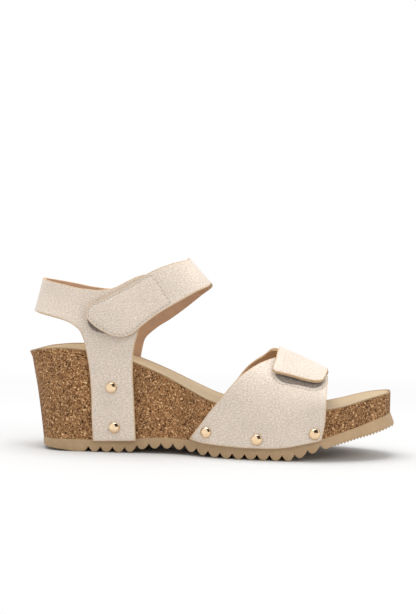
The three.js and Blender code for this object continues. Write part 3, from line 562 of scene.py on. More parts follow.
# ---------------------------------------------------------------------------------------------
# Cushion: a thin die-cut sheet of open foam, laid in the cork's recess under the cover. The cover
# hides it, so the CAD piece stays as it is and takes a foam finish.

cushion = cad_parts["cushion"]
foam, foam_shader = plain_material("cushion_foam", (0.78, 0.72, 0.58), 0.95)
place = object_place(foam)
cells = add_node(foam, "ShaderNodeTexVoronoi", {"Vector": place, "Scale": 1400.0})
link(foam, ramp(foam, cells.outputs["Distance"], [
    (0.1, (0.62, 0.55, 0.42)), (0.6, (0.82, 0.76, 0.62)),
]), foam_shader, "Base Color")
link(foam, raised(foam, cells.outputs["Distance"], 0.3), foam_shader, "Normal")
cushion.data.materials.clear()
cushion.data.materials.append(foam)

# ---------------------------------------------------------------------------------------------
# Footbed cover: tan suede, cut to the plan of the footbed and glued down over the cushion and the
# cork's rim. A band about 2 mm wide along the rim of its face is coloured a darker brown.

COVER_INSET = 0.2
COVER_LINES = 15


def cover_ring(x):
    lateral = max(0.05, half_width(x, -1) - COVER_INSET)
    medial = max(0.05, half_width(x, 1) - COVER_INSET)
    share = np.sin(np.linspace(-np.pi / 2, np.pi / 2, COVER_LINES))
    spread = [part * (medial if part > 0 else lateral) for part in share]
    top = [(x, y, seat_height(x, y)) for y in spread]
    bottom = [(x, y, seat_height(x, y) - COVER_THICKNESS) for y in spread[::-1]]
    return [*top, *bottom]


cover = sleeve("footbed_suede_cover", [cover_ring(x) for x in
               stations(SOLE_START + COVER_INSET, SOLE_END - COVER_INSET, 150)[1:-1]])
round_edges(cover, 0.25, 2, 50)


def mark_cover_edge(piece):
    """Stores each point's distance from the rim on the face, in millimetres; 9 off the face."""
    points = np.array([v.co for v in piece.data.vertices]) / MILLIMETRE - ORIGIN
    from_rim = piece.data.attributes.new("rim_distance", "FLOAT", "POINT")
    values = []
    for x, y, z in points:
        side = 1 if y > 0 else -1
        inwards = half_width(x, side) - COVER_INSET - abs(y)
        ends = min(x - SOLE_START, SOLE_END - x)
        values.append(max(0, min(inwards, ends)) if seat_height(x, y) - z < 0.3 else 9)
    from_rim.data.foreach_set("value", np.array(values, np.float32))


mark_cover_edge(cover)
suede, suede_shader = plain_material("tan_suede", (0.62, 0.46, 0.28), 0.92)
place = object_place(suede)
nap = ramp(suede, noise(suede, place, 1300, 3, 0.7), [
    (0.3, (0.37, 0.255, 0.125)), (0.7, (0.47, 0.34, 0.18)),
])
rubbed = ramp(suede, noise(suede, place, 38, 4), [(0.3, grey(0.9)), (0.7, grey(1.06))])
nap = blended(suede, 1.0, nap, rubbed, "MULTIPLY")
rim = add_node(suede, "ShaderNodeAttribute", attribute_name="rim_distance")
rim_share = add_node(suede, "ShaderNodeMath", {0: rim.outputs["Fac"], 1: 0.125},
                     operation="MULTIPLY")
dark_rim_band = ramp(suede, rim_share.outputs[0], [(0.0, grey(0.9)), (0.2, grey(0.9)), (0.32, grey(0))])
link(suede, blended(suede, dark_rim_band, nap, (0.25, 0.125, 0.045)), suede_shader, "Base Color")
suede_shader.inputs["Sheen Weight"].default_value = 0.25
suede_shader.inputs["Sheen Roughness"].default_value = 0.5
link(suede, raised(suede, noise(suede, place, 2200, 2), 0.12, 0.7), suede_shader, "Normal")
cover.data.materials.append(suede)
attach(cover, "sandal")
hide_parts("footbed_cover")

# ---------------------------------------------------------------------------------------------
# Quarter: one cut of pearl faux leather that runs round the heel, down both sides of the cork as
# a leg, and on from the inner side as the ankle strap, as far as the instep's middle. A smooth
# brown lining backs all of it, and the cut edges are left raw.

LINING_DEPTH = 1.05
LINING_THICKNESS = 1.0
LEATHER_OUTER = 2.3
LEATHER_THICKNESS = 1.2
CLOSURE_STEP = 4.4
ANKLE_WRAP = [
    (4, -5, 150, 30.5, 29.5, 6),
    (68, -2, 150, 30.5, 29.5, 6),
    (80, 1, 147, 30.4, 29.3, 4.6),
    (95, 6.4, 139.5, 29.2, 28, 3),
    (106, 9.0, 131.8, 28.3, 27, 2.6),
    (117, 11.6, 122.4, 27.3, 26, 2.5),
    (136, 16.4, 105.2, 25.6, 24.5, 2.4),
]
ANKLE_REFERENCE_HEIGHT = 104


def ankle_point(turn, z):
    """The wrap's base: turn 0 is the heel's middle, pi the instep, positive on the outer side."""
    back, front = curve(ANKLE_WRAP, z, 1), curve(ANKLE_WRAP, z, 2)
    lateral = turn > 0
    half = np.where(lateral, curve(ANKLE_WRAP, z, 3), curve(ANKLE_WRAP, z, 4)) + GAP
    power = curve(ANKLE_WRAP, z, 5)
    ahead = -np.cos(turn)
    aside = np.clip(1 - np.abs(ahead) ** power, 0, 1) ** (1 / power)
    x = (back + front) / 2 + ahead * (front - back) / 2
    return np.stack((x, np.where(lateral, -1, 1) * half * aside, z), axis=1)


def lengths_along(points):
    steps = np.linalg.norm(np.diff(points, axis=0), axis=1)
    return np.concatenate(([0], np.cumsum(steps)))


TURN_TABLE = np.linspace(0, np.pi, 1200)
wrap_height = np.full(1200, float(ANKLE_REFERENCE_HEIGHT))
lateral_way = lengths_along(ankle_point(TURN_TABLE + 1e-9, wrap_height))
medial_way = lengths_along(ankle_point(-TURN_TABLE - 1e-9, wrap_height))
LATERAL_INSTEP = lateral_way[-1]
MEDIAL_INSTEP = -medial_way[-1]


def ankle_wrap(places):
    """Base points for pattern places (way round, height); the inner side's way is negative."""
    way = places[:, 0]
    lateral = np.interp(way, lateral_way, TURN_TABLE)
    medial = -np.interp(-way, medial_way, TURN_TABLE)
    turn = np.where(way > 0, lateral, medial)
    return ankle_point(np.where(turn == 0, 1e-9, turn), places[:, 1])


def laid_on(base, places, depth, lift=None):
    """Points at a depth above a base surface, raised further by a lift where one is given."""
    step = 0.05
    here = base(places)
    along_first = base(places + (step, 0)) - base(places - (step, 0))
    along_second = base(places + (0, step)) - base(places - (0, step))
    outwards = np.cross(along_first, along_second)
    outwards /= np.linalg.norm(outwards, axis=1)[:, None]
    rise = np.full(len(places), depth, float) if np.isscalar(depth) else depth
    if lift is not None:
        rise = rise + lift(here)
    return here + outwards * rise[:, None]


def find_places(base, lift, wanted, axes, start):
    """Pattern places of points that are known on the leather's outside by two coordinates."""
    places = np.array(start, float)
    wanted = np.array(wanted, float)
    step = 0.05
    for _ in range(40):
        here = laid_on(base, places, LEATHER_OUTER, lift)[:, axes]
        first = (laid_on(base, places + (step, 0), LEATHER_OUTER, lift)[:, axes] - here) / step
        second = (laid_on(base, places + (0, step), LEATHER_OUTER, lift)[:, axes] - here) / step
        miss = wanted - here
        area = first[:, 0] * second[:, 1] - first[:, 1] * second[:, 0]
        area = np.where(np.abs(area) < 0.02, 0.02 * np.sign(area + 1e-12), area)
        change = np.stack(
            (
                (miss[:, 0] * second[:, 1] - miss[:, 1] * second[:, 0]) / area,
                (first[:, 0] * miss[:, 1] - first[:, 1] * miss[:, 0]) / area,
            ),
            axis=1,
        )
        places += np.clip(change, -2.5, 2.5)
    return places


def ankle_side(points, side, lift=None):
    """Pattern places on the ankle wrap of points (x, z) seen from the outer or inner side."""
    points = np.array(points, float)
    back, front = curve(ANKLE_WRAP, points[:, 1], 1), curve(ANKLE_WRAP, points[:, 1], 2)
    ahead = np.clip((2 * points[:, 0] - back - front) / (front - back), -0.999, 0.999)
    turn = np.arccos(-ahead)
    table = lateral_way if side < 0 else medial_way
    way = np.interp(turn, TURN_TABLE, table) * (1 if side < 0 else -1)
    return find_places(ankle_wrap, lift, points, [0, 2], np.stack((way, points[:, 1]), axis=1))


def smooth_run(points, spacing):
    """A smooth line through control points, as points an even distance apart."""
    points = np.array(points, float)
    if len(points) == 2:
        count = max(2, int(np.linalg.norm(points[1] - points[0]) / spacing) + 1)
        return points[0] + np.linspace(0, 1, count)[:, None] * (points[1] - points[0])
    way = lengths_along(points)
    gap = np.diff(way)[:, None]
    slope = np.diff(points, axis=0) / gap
    middle = (slope[:-1] * gap[1:] + slope[1:] * gap[:-1]) / (gap[1:] + gap[:-1])
    tangent = np.concatenate((slope[:1], middle, slope[-1:]))
    fine = np.linspace(0, way[-1], 40 * len(points))
    i = np.clip(np.searchsorted(way, fine, side="right") - 1, 0, len(points) - 2)
    width = (way[i + 1] - way[i])[:, None]
    t = (fine - way[i])[:, None] / width
    line = (
        (2 * t**3 - 3 * t**2 + 1) * points[i]
        + (t**3 - 2 * t**2 + t) * width * tangent[i]
        + (3 * t**2 - 2 * t**3) * points[i + 1]
        + (t**3 - t**2) * width * tangent[i + 1]
    )
    return evenly_spaced(line, spacing)


def evenly_spaced(line, spacing):
    way = lengths_along(line)
    count = max(2, int(round(way[-1] / spacing)) + 1)
    wanted = np.linspace(0, way[-1], count)
    return np.stack([np.interp(wanted, way, line[:, k]) for k in (0, 1)], axis=1)


def outline_of(runs, spacing=1.3):
    """A closed outline from smooth runs that meet at corners; its points don't repeat."""
    lines = [smooth_run(run, spacing) for run in runs]
    joined = []
    for index, line in enumerate(lines):
        following = lines[(index + 1) % len(lines)]
        joined.extend(line)
        if np.linalg.norm(line[-1] - following[0]) < 0.05:
            joined.pop()
        else:
            joined.extend(smooth_run([line[-1], following[0]], spacing)[1:-1])
    return np.array(joined)


def distance_to(points, line):
    """Distance of each point from a line of points, in millimetres."""
    nearest = np.full(len(points), 1e9)
    for start, end in zip(line[:-1], line[1:]):
        way = end - start
        t = np.clip(((points - start) @ way) / max(1e-12, way @ way), 0, 1)
        nearest = np.minimum(nearest, np.linalg.norm(points - start - t[:, None] * way, axis=1))
    return nearest


def inside(points, outline):
    """Which points lie inside a closed outline."""
    x, y = points[:, 0], points[:, 1]
    odd = np.zeros(len(points), bool)
    for (x0, y0), (x1, y1) in zip(outline, np.roll(outline, -1, axis=0)):
        if y0 == y1:
            continue
        crosses = (y0 > y) != (y1 > y)
        odd ^= crosses & (x < x0 + (y - y0) * (x1 - x0) / (y1 - y0))
    return odd


def pattern_mesh(outline, rows, spacing):
    """Places and triangles of a flat cut: its outline, any stitch rows and an even grid."""
    low, high = outline.min(axis=0), outline.max(axis=0)
    height = spacing * math.sqrt(3) / 2
    grid = []
    for j, second in enumerate(np.arange(low[1], high[1], height)):
        start = low[0] + (spacing / 2 if j % 2 else 0)
        grid.extend((first, second) for first in np.arange(start, high[0], spacing))
    grid = np.array(grid)
    closed = np.concatenate((outline, outline[:1]))
    keep = inside(grid, outline) & (distance_to(grid, closed) > spacing * 0.55)
    rails = []
    for row in rows:
        slope = np.gradient(row, axis=0)
        aside = np.stack((-slope[:, 1], slope[:, 0]), axis=1)
        aside /= np.linalg.norm(aside, axis=1)[:, None]
        keep &= distance_to(grid, row) > 1.15
        for offset in (-0.6, -0.3, 0, 0.3, 0.6):
            rail = row + aside * offset
            fits = inside(rail, outline) & (distance_to(rail, closed) > 0.35)
            rails.extend(rail[fits])
    points = [*outline, *grid[keep], *rails]
    vectors = [Vector(p) for p in points]
    made = delaunay_2d_cdt(vectors, [], [list(range(len(outline)))], 1, 1e-5)
    return np.array([tuple(p) for p in made[0]]), made[2]


def free_edge(outline, butt):
    """The closed outline or, where one straight side butts on another cut, the rest of it."""
    if butt is None:
        return np.concatenate((outline, outline[:1]))
    on_butt = distance_to(outline, np.array(butt, float)) < 0.2
    first = int(np.argmax(on_butt & ~np.roll(on_butt, -1)))
    return np.roll(outline, -first, axis=0)[np.roll(~on_butt, -first)]


SEAM_GROOVE_DEPTH = 0.28
SEAM_HALF_WIDTH = 0.34
DENT_SHARE = 0.3
DENT_REACH = 5.2


def cut_piece(name, outline, base, outer, thickness, finishes, lift=None, rows=(), spacing=1.7,
              dents=(), puff=0.0, roughened=0.0, butt=None):
    """A flat cut laid over its base surface, given its thickness and rounded edges. finishes
    are the materials of its outside, its back and its cut edge."""
    places, triangles = pattern_mesh(outline, rows, spacing)
    from_edge = distance_to(places, free_edge(outline, butt))
    from_seam = np.full(len(places), 9.0)
    for row in rows:
        from_seam = np.minimum(from_seam, distance_to(places, row))
    depth = outer - SEAM_GROOVE_DEPTH * np.exp(-((from_seam / SEAM_HALF_WIDTH) ** 2))
    depth = depth + puff * smooth_step(0.6, 5, np.minimum(from_edge, from_seam))
    if roughened:
        depth = depth + np.random.default_rng(7).uniform(-roughened, roughened, len(places))
    points = laid_on(base, places, depth, lift)
    for dent in dents:
        away = np.linalg.norm(points - dent, axis=1)
        inner = laid_on(base, places, depth - 1, lift)
        points += (inner - points) * (DENT_SHARE * np.exp(-((away / DENT_REACH) ** 2)))[:, None]
    mesh = bpy.data.meshes.new(name)
    mesh.from_pydata(((points + ORIGIN) * MILLIMETRE).tolist(), [], triangles)
    pattern = mesh.uv_layers.new(name="pattern")
    corner = np.zeros(len(mesh.loops), np.int32)
    mesh.loops.foreach_get("vertex_index", corner)
    pattern.data.foreach_set("uv", (places[corner] * MILLIMETRE).astype(np.float32).ravel())
    for key, values in (("edge_distance", from_edge), ("seam_distance", from_seam)):
        attribute = mesh.attributes.new(key, "FLOAT", "POINT")
        attribute.data.foreach_set("value", values.astype(np.float32))
    piece = bpy.data.objects.new(name, mesh)
    bpy.context.scene.collection.objects.link(piece)
    for finish in finishes:
        mesh.materials.append(finish)
    face_out(piece, points, places, base)
    wall = piece.modifiers.new("thickness", "SOLIDIFY")
    wall.thickness = thickness * MILLIMETRE
    wall.offset = -1
    wall.use_even_offset = True
    wall.material_offset = 1
    wall.material_offset_rim = 2
    only_select(piece)
    bpy.ops.object.modifier_apply(modifier=wall.name)
    round_edges(piece, min(0.28, thickness * 0.3), 2, 48)
    return piece


def face_out(piece, points, places, base):
    """Turns the sheet's faces to the outside if the cut came out the other way up."""
    first = piece.data.polygons[0]
    corners = [points[i] for i in first.vertices]
    facing = np.cross(corners[1] - corners[0], corners[2] - corners[0])
    here = places[list(first.vertices)].mean(axis=0)[None, :]
    outwards = laid_on(base, here, 1.0)[0] - laid_on(base, here, 0.0)[0]
    if facing @ outwards < 0:
        piece.data.flip_normals()


def declare_leather(nodes):
    """Hides the CAD nodes that a leather or lining cut replaces."""
    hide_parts(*nodes)


pearl, pearl_shader = plain_material("pearl_leather", (0.66, 0.57, 0.49), 0.5)
uv = add_node(pearl, "ShaderNodeUVMap", uv_map="pattern").outputs["UV"]
edge_way = add_node(pearl, "ShaderNodeAttribute", attribute_name="edge_distance").outputs["Fac"]
seam_way = add_node(pearl, "ShaderNodeAttribute", attribute_name="seam_distance").outputs["Fac"]
stretched = add_node(pearl, "ShaderNodeMapping", {"Vector": uv, "Scale": (1.0, 1.7, 1.0)})
grain_place = stretched.outputs["Vector"]
grain = add_node(pearl, "ShaderNodeTexVoronoi", {"Vector": grain_place, "Scale": 1150.0})
soft_grain = noise(pearl, grain_place, 800, 4, 0.65)
pearl_tone = ramp(pearl, soft_grain, [
    (0.3, (0.46, 0.36, 0.275)), (0.5, (0.63, 0.53, 0.435)), (0.7, (0.81, 0.73, 0.65)),
])
patches = ramp(pearl, noise(pearl, uv, 42, 5, 0.6), [(0.3, grey(0.93)), (0.7, grey(1.05))])
pearl_tone = blended(pearl, 1.0, pearl_tone, patches, "MULTIPLY")
valleys = ramp(pearl, grain.outputs["Distance"], [(0.25, grey(1)), (0.75, grey(0.88))])
pearl_tone = blended(pearl, 0.8, pearl_tone, valleys, "MULTIPLY")
edge_share = add_node(pearl, "ShaderNodeMath", {0: edge_way, 1: 0.25}, operation="MULTIPLY")
worn_edge = ramp(pearl, edge_share.outputs[0], [(0.0, grey(0.85)), (0.25, grey(0))])
pearl_tone = blended(pearl, worn_edge, pearl_tone, (0.50, 0.335, 0.185))
# Painted shade: within half a millimetre of each stitch row the leather's colour turns to dark brown,
# standing in for the shade in the stitch groove.
seam_share = add_node(pearl, "ShaderNodeMath", {0: seam_way, 1: 0.5}, operation="MULTIPLY")
painted_seam_shade = ramp(pearl, seam_share.outputs[0], [(0.0, grey(0.62)), (0.25, grey(0))])
link(pearl, blended(pearl, painted_seam_shade, pearl_tone, (0.20, 0.13, 0.08)), pearl_shader, "Base Color")
sheeny = ramp(pearl, soft_grain, [(0.3, grey(0.42)), (0.7, grey(0.6))])
link(pearl, sheeny, pearl_shader, "Roughness")
pearl_shader.inputs["Specular IOR Level"].default_value = 0.55
pearl_shader.inputs["Sheen Weight"].default_value = 0.12
pearl_shader.inputs["Coat Weight"].default_value = 0.25
pearl_shader.inputs["Coat Roughness"].default_value = 0.42
pebbled = raised(pearl, grain.outputs["Distance"], 0.09, 0.55)
link(pearl, raised(pearl, soft_grain, 0.16, 0.6, pebbled), pearl_shader, "Normal")

raw_edge, raw_shader = plain_material("raw_cut_edge", (0.72, 0.53, 0.33), 0.7)
place = object_place(raw_edge)
fibres = ramp(raw_edge, noise(raw_edge, place, 1700, 3, 0.7), [
    (0.3, (0.43, 0.28, 0.145)), (0.7, (0.60, 0.425, 0.245)),
])
link(raw_edge, fibres, raw_shader, "Base Color")
link(raw_edge, raised(raw_edge, noise(raw_edge, place, 2400), 0.1, 0.7), raw_shader, "Normal")

brown_lining, lining_shader = plain_material("brown_lining", (0.50, 0.31, 0.195), 0.55)
uv = add_node(brown_lining, "ShaderNodeUVMap", uv_map="pattern").outputs["UV"]
lining_tone = ramp(brown_lining, noise(brown_lining, uv, 95, 5, 0.65), [
    (0.3, (0.455, 0.275, 0.17)), (0.7, (0.545, 0.345, 0.22)),
])
pores = add_node(brown_lining, "ShaderNodeTexVoronoi", {"Vector": uv, "Scale": 1500.0})
pore_shade = ramp(brown_lining, pores.outputs["Distance"], [(0.05, grey(0.75)), (0.3, grey(1))])
link(brown_lining, blended(brown_lining, 0.7, lining_tone, pore_shade, "MULTIPLY"),
     lining_shader, "Base Color")
link(brown_lining, raised(brown_lining, pores.outputs["Distance"], 0.06, 0.6),
     lining_shader, "Normal")
lining_rough = ramp(brown_lining, noise(brown_lining, uv, 400), [(0.3, grey(0.48)), (0.7, grey(0.66))])
link(brown_lining, lining_rough, lining_shader, "Roughness")

leather_faces = (pearl, raw_edge, raw_edge)
lining_faces = (brown_lining, brown_lining, raw_edge)

HEEL_TOP_Z = 116.9
HEEL_LOW_Z = 94.9
INSTEP_TOP_Z = 131.4
INSTEP_LOW_Z = 114.8
HEEL_STRAP_TOP = [(16, 115.8), (26, 113.9), (40, 111.2), (52, 110.1)]
HEEL_STRAP_LOW = [(43.8, 77.1), (41, 82.6), (34.6, 87.3), (20, 91.9), (9.5, 93.9)]
LEG_BACK_EDGE = [(51.2, 7.6), (50.2, 24), (49.6, 42), (47.6, 60), (45.8, 69.2)]
LATERAL_LEG_FRONT = [
    (61, 111.1), (74.3, 117.3), (80.4, 120.1), (84.6, 121.2), (86, 116.5), (85.2, 100),
    (81.2, 82.4), (78.6, 72), (77.9, 60), (79, 36), (80.6, 8.6),
]
MEDIAL_STRAP_TOP = [(60, 110.9), (72, 115.8), (86.7, 122), (103, 128.8)]
MEDIAL_LEG_FRONT = [
    (119.4, 108), (109.6, 100.4), (95.5, 89.8), (83.3, 81.5), (76.6, 74.9), (74.2, 66),
    (74.6, 40), (77.4, 8.6),
]
LATERAL_LEG_RIVETS = [(63.5, 44.5), (65.9, 17.3)]
MEDIAL_LEG_RIVETS = [(62, 44.5), (63.5, 17.3)]
VAMP_RIVETS = [(130, 17), (164, 14), (201.5, 18.8)]


def rivet_place(x, z, side):
    """A point on the cork's side and the way straight out of it."""
    slope = (half_width(x + 1, side) - half_width(x - 1, side)) / 2
    outwards = np.array((-slope, side, 0.0))
    outwards /= np.linalg.norm(outwards)
    return np.array((x, side * (half_width(x, side) + GAP), z)), outwards


def dents_under(rivets, side):
    return [place + way * LEATHER_OUTER for place, way in (rivet_place(x, z, side) for x, z in rivets)]


lateral_run = ankle_side([*HEEL_STRAP_TOP, *LATERAL_LEG_FRONT], -1)
lateral_low = ankle_side([*LEG_BACK_EDGE, *HEEL_STRAP_LOW], -1)
medial_low = ankle_side([*LEG_BACK_EDGE, *HEEL_STRAP_LOW], 1)
medial_front = ankle_side(MEDIAL_LEG_FRONT, 1)
medial_top = ankle_side([*HEEL_STRAP_TOP, *MEDIAL_STRAP_TOP], 1)
quarter_outline = outline_of([
    lateral_run[3:8],
    lateral_run[7:],
    [*lateral_low, (0, HEEL_LOW_Z), *medial_low[::-1]],
    [*medial_front[::-1], (MEDIAL_INSTEP, INSTEP_LOW_Z)],
    [(MEDIAL_INSTEP, INSTEP_LOW_Z), (MEDIAL_INSTEP, INSTEP_TOP_Z)],
    [(MEDIAL_INSTEP, INSTEP_TOP_Z), *medial_top[::-1], (0, HEEL_TOP_Z), *lateral_run[:4]],
])
quarter_dents = [*dents_under(LATERAL_LEG_RIVETS, -1), *dents_under(MEDIAL_LEG_RIVETS, 1)]
quarter = cut_piece(
    "quarter_and_strap_leather", quarter_outline, ankle_wrap, LEATHER_OUTER,
    LEATHER_THICKNESS, leather_faces, dents=quarter_dents,
    butt=[(MEDIAL_INSTEP, INSTEP_LOW_Z), (MEDIAL_INSTEP, INSTEP_TOP_Z)],
)
quarter_lining = cut_piece(
    "quarter_and_strap_lining", quarter_outline, ankle_wrap, LINING_DEPTH, LINING_THICKNESS,
    lining_faces,
)
for piece, node, surface_slot in (
    (quarter, "quarter_leather", "strap_leather"), (quarter_lining, "quarter_lining", "strap_lining"),
):
    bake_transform(piece)
    declare_leather([node])

# ---------------------------------------------------------------------------------------------
# Ankle strap and tab: the leather strap over the instep's outer half, ending in a broad rounded
# tab that closes over the quarter. A row of lockstitch inside the tab's edge and across its
# front holds the hook tape on its underside.

LIFT_START_X = 87
LIFT_END_X = 112
STRAP_LATERAL = [
    (101, 128.4), (86.7, 121.6), (81.3, 118.0), (67.8, 110.2), (54.6, 103.4), (49, 100.4),
    (46.2, 97.4), (46.0, 92.8), (51, 86.9), (59, 82), (65, 79.7), (71, 79), (77.2, 81),
    (83.8, 86.4), (94, 94.5), (108.9, 103.9), (118, 109.6),
]
TAB_CROSS_STITCH = [(90.8, 119), (94.8, 114), (98.8, 107.8), (102, 103.6), (103.1, 101.5)]
STITCH_INSET = 1.5
STITCH_PITCH = 2.5
STITCH_LENGTH = 2.0
THREAD_RADIUS = 0.27


def ankle_lift(points):
    raised_part = CLOSURE_STEP * (1 - smooth_step(LIFT_START_X, LIFT_END_X, points[:, 0]))
    return np.where(points[:, 1] > 0, 0, raised_part)


def inset_line(outline, inset):
    """The outline moved inwards by an even distance, without its loops at tight corners."""
    ahead, behind = np.roll(outline, -2, axis=0), np.roll(outline, 2, axis=0)
    way = ahead - behind
    aside = np.stack((-way[:, 1], way[:, 0]), axis=1)
    aside /= np.linalg.norm(aside, axis=1)[:, None]
    moved = outline + aside * inset
    if inside(moved, outline).mean() < 0.5:
        moved = outline - aside * inset
    closed = np.concatenate((outline, outline[:1]))
    return moved[distance_to(moved, closed) > inset * 0.9]


def between(line, start, end):
    """The part of a line between its points nearest to two places."""
    first = int(np.argmin(np.linalg.norm(line - start, axis=1)))
    last = int(np.argmin(np.linalg.norm(line - end, axis=1)))
    return line[min(first, last):max(first, last) + 1]


strap_side = ankle_side(STRAP_LATERAL, -1, ankle_lift)
strap_outline = outline_of([
    [(LATERAL_INSTEP, INSTEP_TOP_Z), *strap_side, (LATERAL_INSTEP, INSTEP_LOW_Z)],
    [(LATERAL_INSTEP, INSTEP_LOW_Z), (LATERAL_INSTEP, INSTEP_TOP_Z)],
])
cross_row = smooth_run(ankle_side(TAB_CROSS_STITCH, -1, ankle_lift), 1.0)
tab_row = between(inset_line(strap_outline, STITCH_INSET), cross_row[0], cross_row[-1])
stitch_path = evenly_spaced(np.concatenate((cross_row[:1], tab_row, cross_row[-1:])), 1.0)
strap = cut_piece(
    "ankle_strap_and_tab_leather", strap_outline, ankle_wrap, LEATHER_OUTER,
    LEATHER_THICKNESS, leather_faces, lift=ankle_lift,
    rows=(stitch_path, cross_row), puff=0.2,
    butt=[(LATERAL_INSTEP, INSTEP_LOW_Z), (LATERAL_INSTEP, INSTEP_TOP_Z)],
)
strap_lining = cut_piece(
    "ankle_strap_and_tab_lining", strap_outline, ankle_wrap, LINING_DEPTH, LINING_THICKNESS,
    lining_faces, lift=ankle_lift,
)
for piece, nodes, surface_slot in (
    (strap, ("ankle_strap_leather", "ankle_tab_leather"), "strap_leather"),
    (strap_lining, ("ankle_strap_lining", "ankle_tab_lining"), "strap_lining"),
):
    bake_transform(piece)
    declare_leather(nodes)

thread, thread_shader = plain_material("ivory_thread", (0.72, 0.66, 0.57), 0.55)
place = object_place(thread)
twist = add_node(thread, "ShaderNodeTexWave", {"Vector": place, "Scale": 900.0, "Distortion": 2.0})
link(thread, ramp(thread, twist.outputs["Fac"], [
    (0.2, (0.56, 0.49, 0.40)), (0.8, (0.82, 0.77, 0.69)),
]), thread_shader, "Base Color")
link(thread, raised(thread, twist.outputs["Fac"], 0.06), thread_shader, "Normal")

bpy.ops.object.select_all(action="DESELECT")
bpy.ops.mesh.primitive_uv_sphere_add(segments=8, ring_count=6, radius=THREAD_RADIUS)
one_stitch = bpy.context.active_object
one_stitch.name = "one_stitch"
bpy.ops.object.mode_set(mode="EDIT")
bpy.ops.mesh.select_all(action="SELECT")
bpy.ops.transform.resize(value=(STITCH_LENGTH / 2 / THREAD_RADIUS, 1, 1))
bpy.ops.object.mode_set(mode="OBJECT")
STITCH_POINTS = np.array([v.co for v in one_stitch.data.vertices])
STITCH_FACES = [list(p.vertices) for p in one_stitch.data.polygons]
bpy.data.objects.remove(one_stitch)


def stitch_row(name, paths, base, depth, lift=None):
    """One mesh of equal stitches, each lying along its path, partly sunk in the leather."""
    points, faces = [], []
    for path in paths:
        places = evenly_spaced(path, STITCH_PITCH)
        here = laid_on(base, places, depth, lift)
        above = laid_on(base, places, depth + 1, lift)
        way = np.gradient(here, axis=0)
        for spot, over, ahead in zip(here, above, way):
            out = (over - spot) / np.linalg.norm(over - spot)
            ahead = ahead - out * (ahead @ out)
            ahead /= np.linalg.norm(ahead)
            turn = np.stack((ahead, np.cross(out, ahead), out), axis=1)
            faces.extend([[i + len(points) for i in face] for face in STITCH_FACES])
            points.extend(spot + STITCH_POINTS @ turn.T)
    mesh = bpy.data.meshes.new(name)
    mesh.from_pydata(((np.array(points) + ORIGIN) * MILLIMETRE).tolist(), [], faces)
    mesh.materials.append(thread)
    row = bpy.data.objects.new(name, mesh)
    bpy.context.scene.collection.objects.link(row)
    only_select(row)
    bpy.ops.object.shade_smooth()
    return row


tab_stitches = stitch_row("ankle_tab_stitches", (stitch_path, cross_row), ankle_wrap,
                          LEATHER_OUTER - 0.12, ankle_lift)
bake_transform(tab_stitches)

# ---------------------------------------------------------------------------------------------
# Ankle tapes: loop tape sewn on the outer side of the quarter and hook tape sewn under the tab,
# both woven nylon with a short fuzzy pile.

TAPE_THICKNESS = 0.6
LOOP_TAPE_DEPTH = 3.1
HOOK_TAPE_DEPTH = -0.3
ANKLE_LOOP_TAPE = [
    (47.9, 96.8), (55, 100.6), (82, 113), (82.4, 91), (76, 85.5), (70.5, 82.4), (59, 80.9),
    (49.4, 84.2), (46.4, 89.5),
]
ANKLE_HOOK_TAPE = [
    (49.2, 97.4), (55, 101), (68.6, 107.8), (88.3, 119), (94, 112), (98.8, 102),
    (82.6, 89.2), (76, 83.6), (70.6, 81.8), (60.2, 84.3), (52.6, 89), (49, 93),
]

tape, tape_shader = plain_material("loop_tape", (0.17, 0.14, 0.115), 0.95)
place = object_place(tape)
pile = noise(tape, place, 1500, 4, 0.75)
link(tape, ramp(tape, pile, [
    (0.3, (0.06, 0.045, 0.035)), (0.5, (0.18, 0.145, 0.12)), (0.7, (0.48, 0.41, 0.35)),
]), tape_shader, "Base Color")
tape_shader.inputs["Sheen Weight"].default_value = 0.5
link(tape, raised(tape, pile, 0.4, 1.0), tape_shader, "Normal")


def tape_piece(name, outline, base, depth, body, node, lift=None):
    """A piece of fuzzy tape with a slightly uneven pile, riding on one body."""
    made = cut_piece(name, outline, base, depth, TAPE_THICKNESS, (tape, tape, tape), lift=lift,
                     spacing=0.9, roughened=0.12)
    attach(made, body)
    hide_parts(node)


loop_outline = outline_of([
    ankle_side(ANKLE_LOOP_TAPE[:3], -1), ankle_side(ANKLE_LOOP_TAPE[2:4], -1),
    ankle_side([*ANKLE_LOOP_TAPE[3:], ANKLE_LOOP_TAPE[0]], -1),
])
tape_piece("ankle_loop_tape_pile", loop_outline, ankle_wrap, LOOP_TAPE_DEPTH, "sandal",
           "ankle_loop_tape")
hook_outline = outline_of([
    ankle_side(ANKLE_HOOK_TAPE[:4], -1, ankle_lift),
    ankle_side(ANKLE_HOOK_TAPE[3:6], -1, ankle_lift),
    ankle_side([*ANKLE_HOOK_TAPE[5:], ANKLE_HOOK_TAPE[0]], -1, ankle_lift),
])
tape_piece("ankle_hook_tape_pile", hook_outline, ankle_wrap, HOOK_TAPE_DEPTH, "ankle_tab",
           "ankle_hook_tape", ankle_lift)

# ---------------------------------------------------------------------------------------------
# Vamp: two panels of the same leather over the forefoot, riveted to the cork on each side. The
# inner one carries on to the top of the foot, where a second cut butts on it: the strap's outer
# part with the short tab that closes on the outer panel.

VAMP_RIDGE = [(108, 91), (150, 79), (174, 68.9), (190, 62), (208, 53.7), (216, 50)]
VAMP_ROUNDNESS = 2.25
VAMP_FOOT_Z = 5
VAMP_STRAIGHT_FROM = 204
VAMP_REFERENCE_X = 178
VAMP_LIFT_START_Y = -17
VAMP_LIFT_END_Y = 4
SPLIT_Y = 5


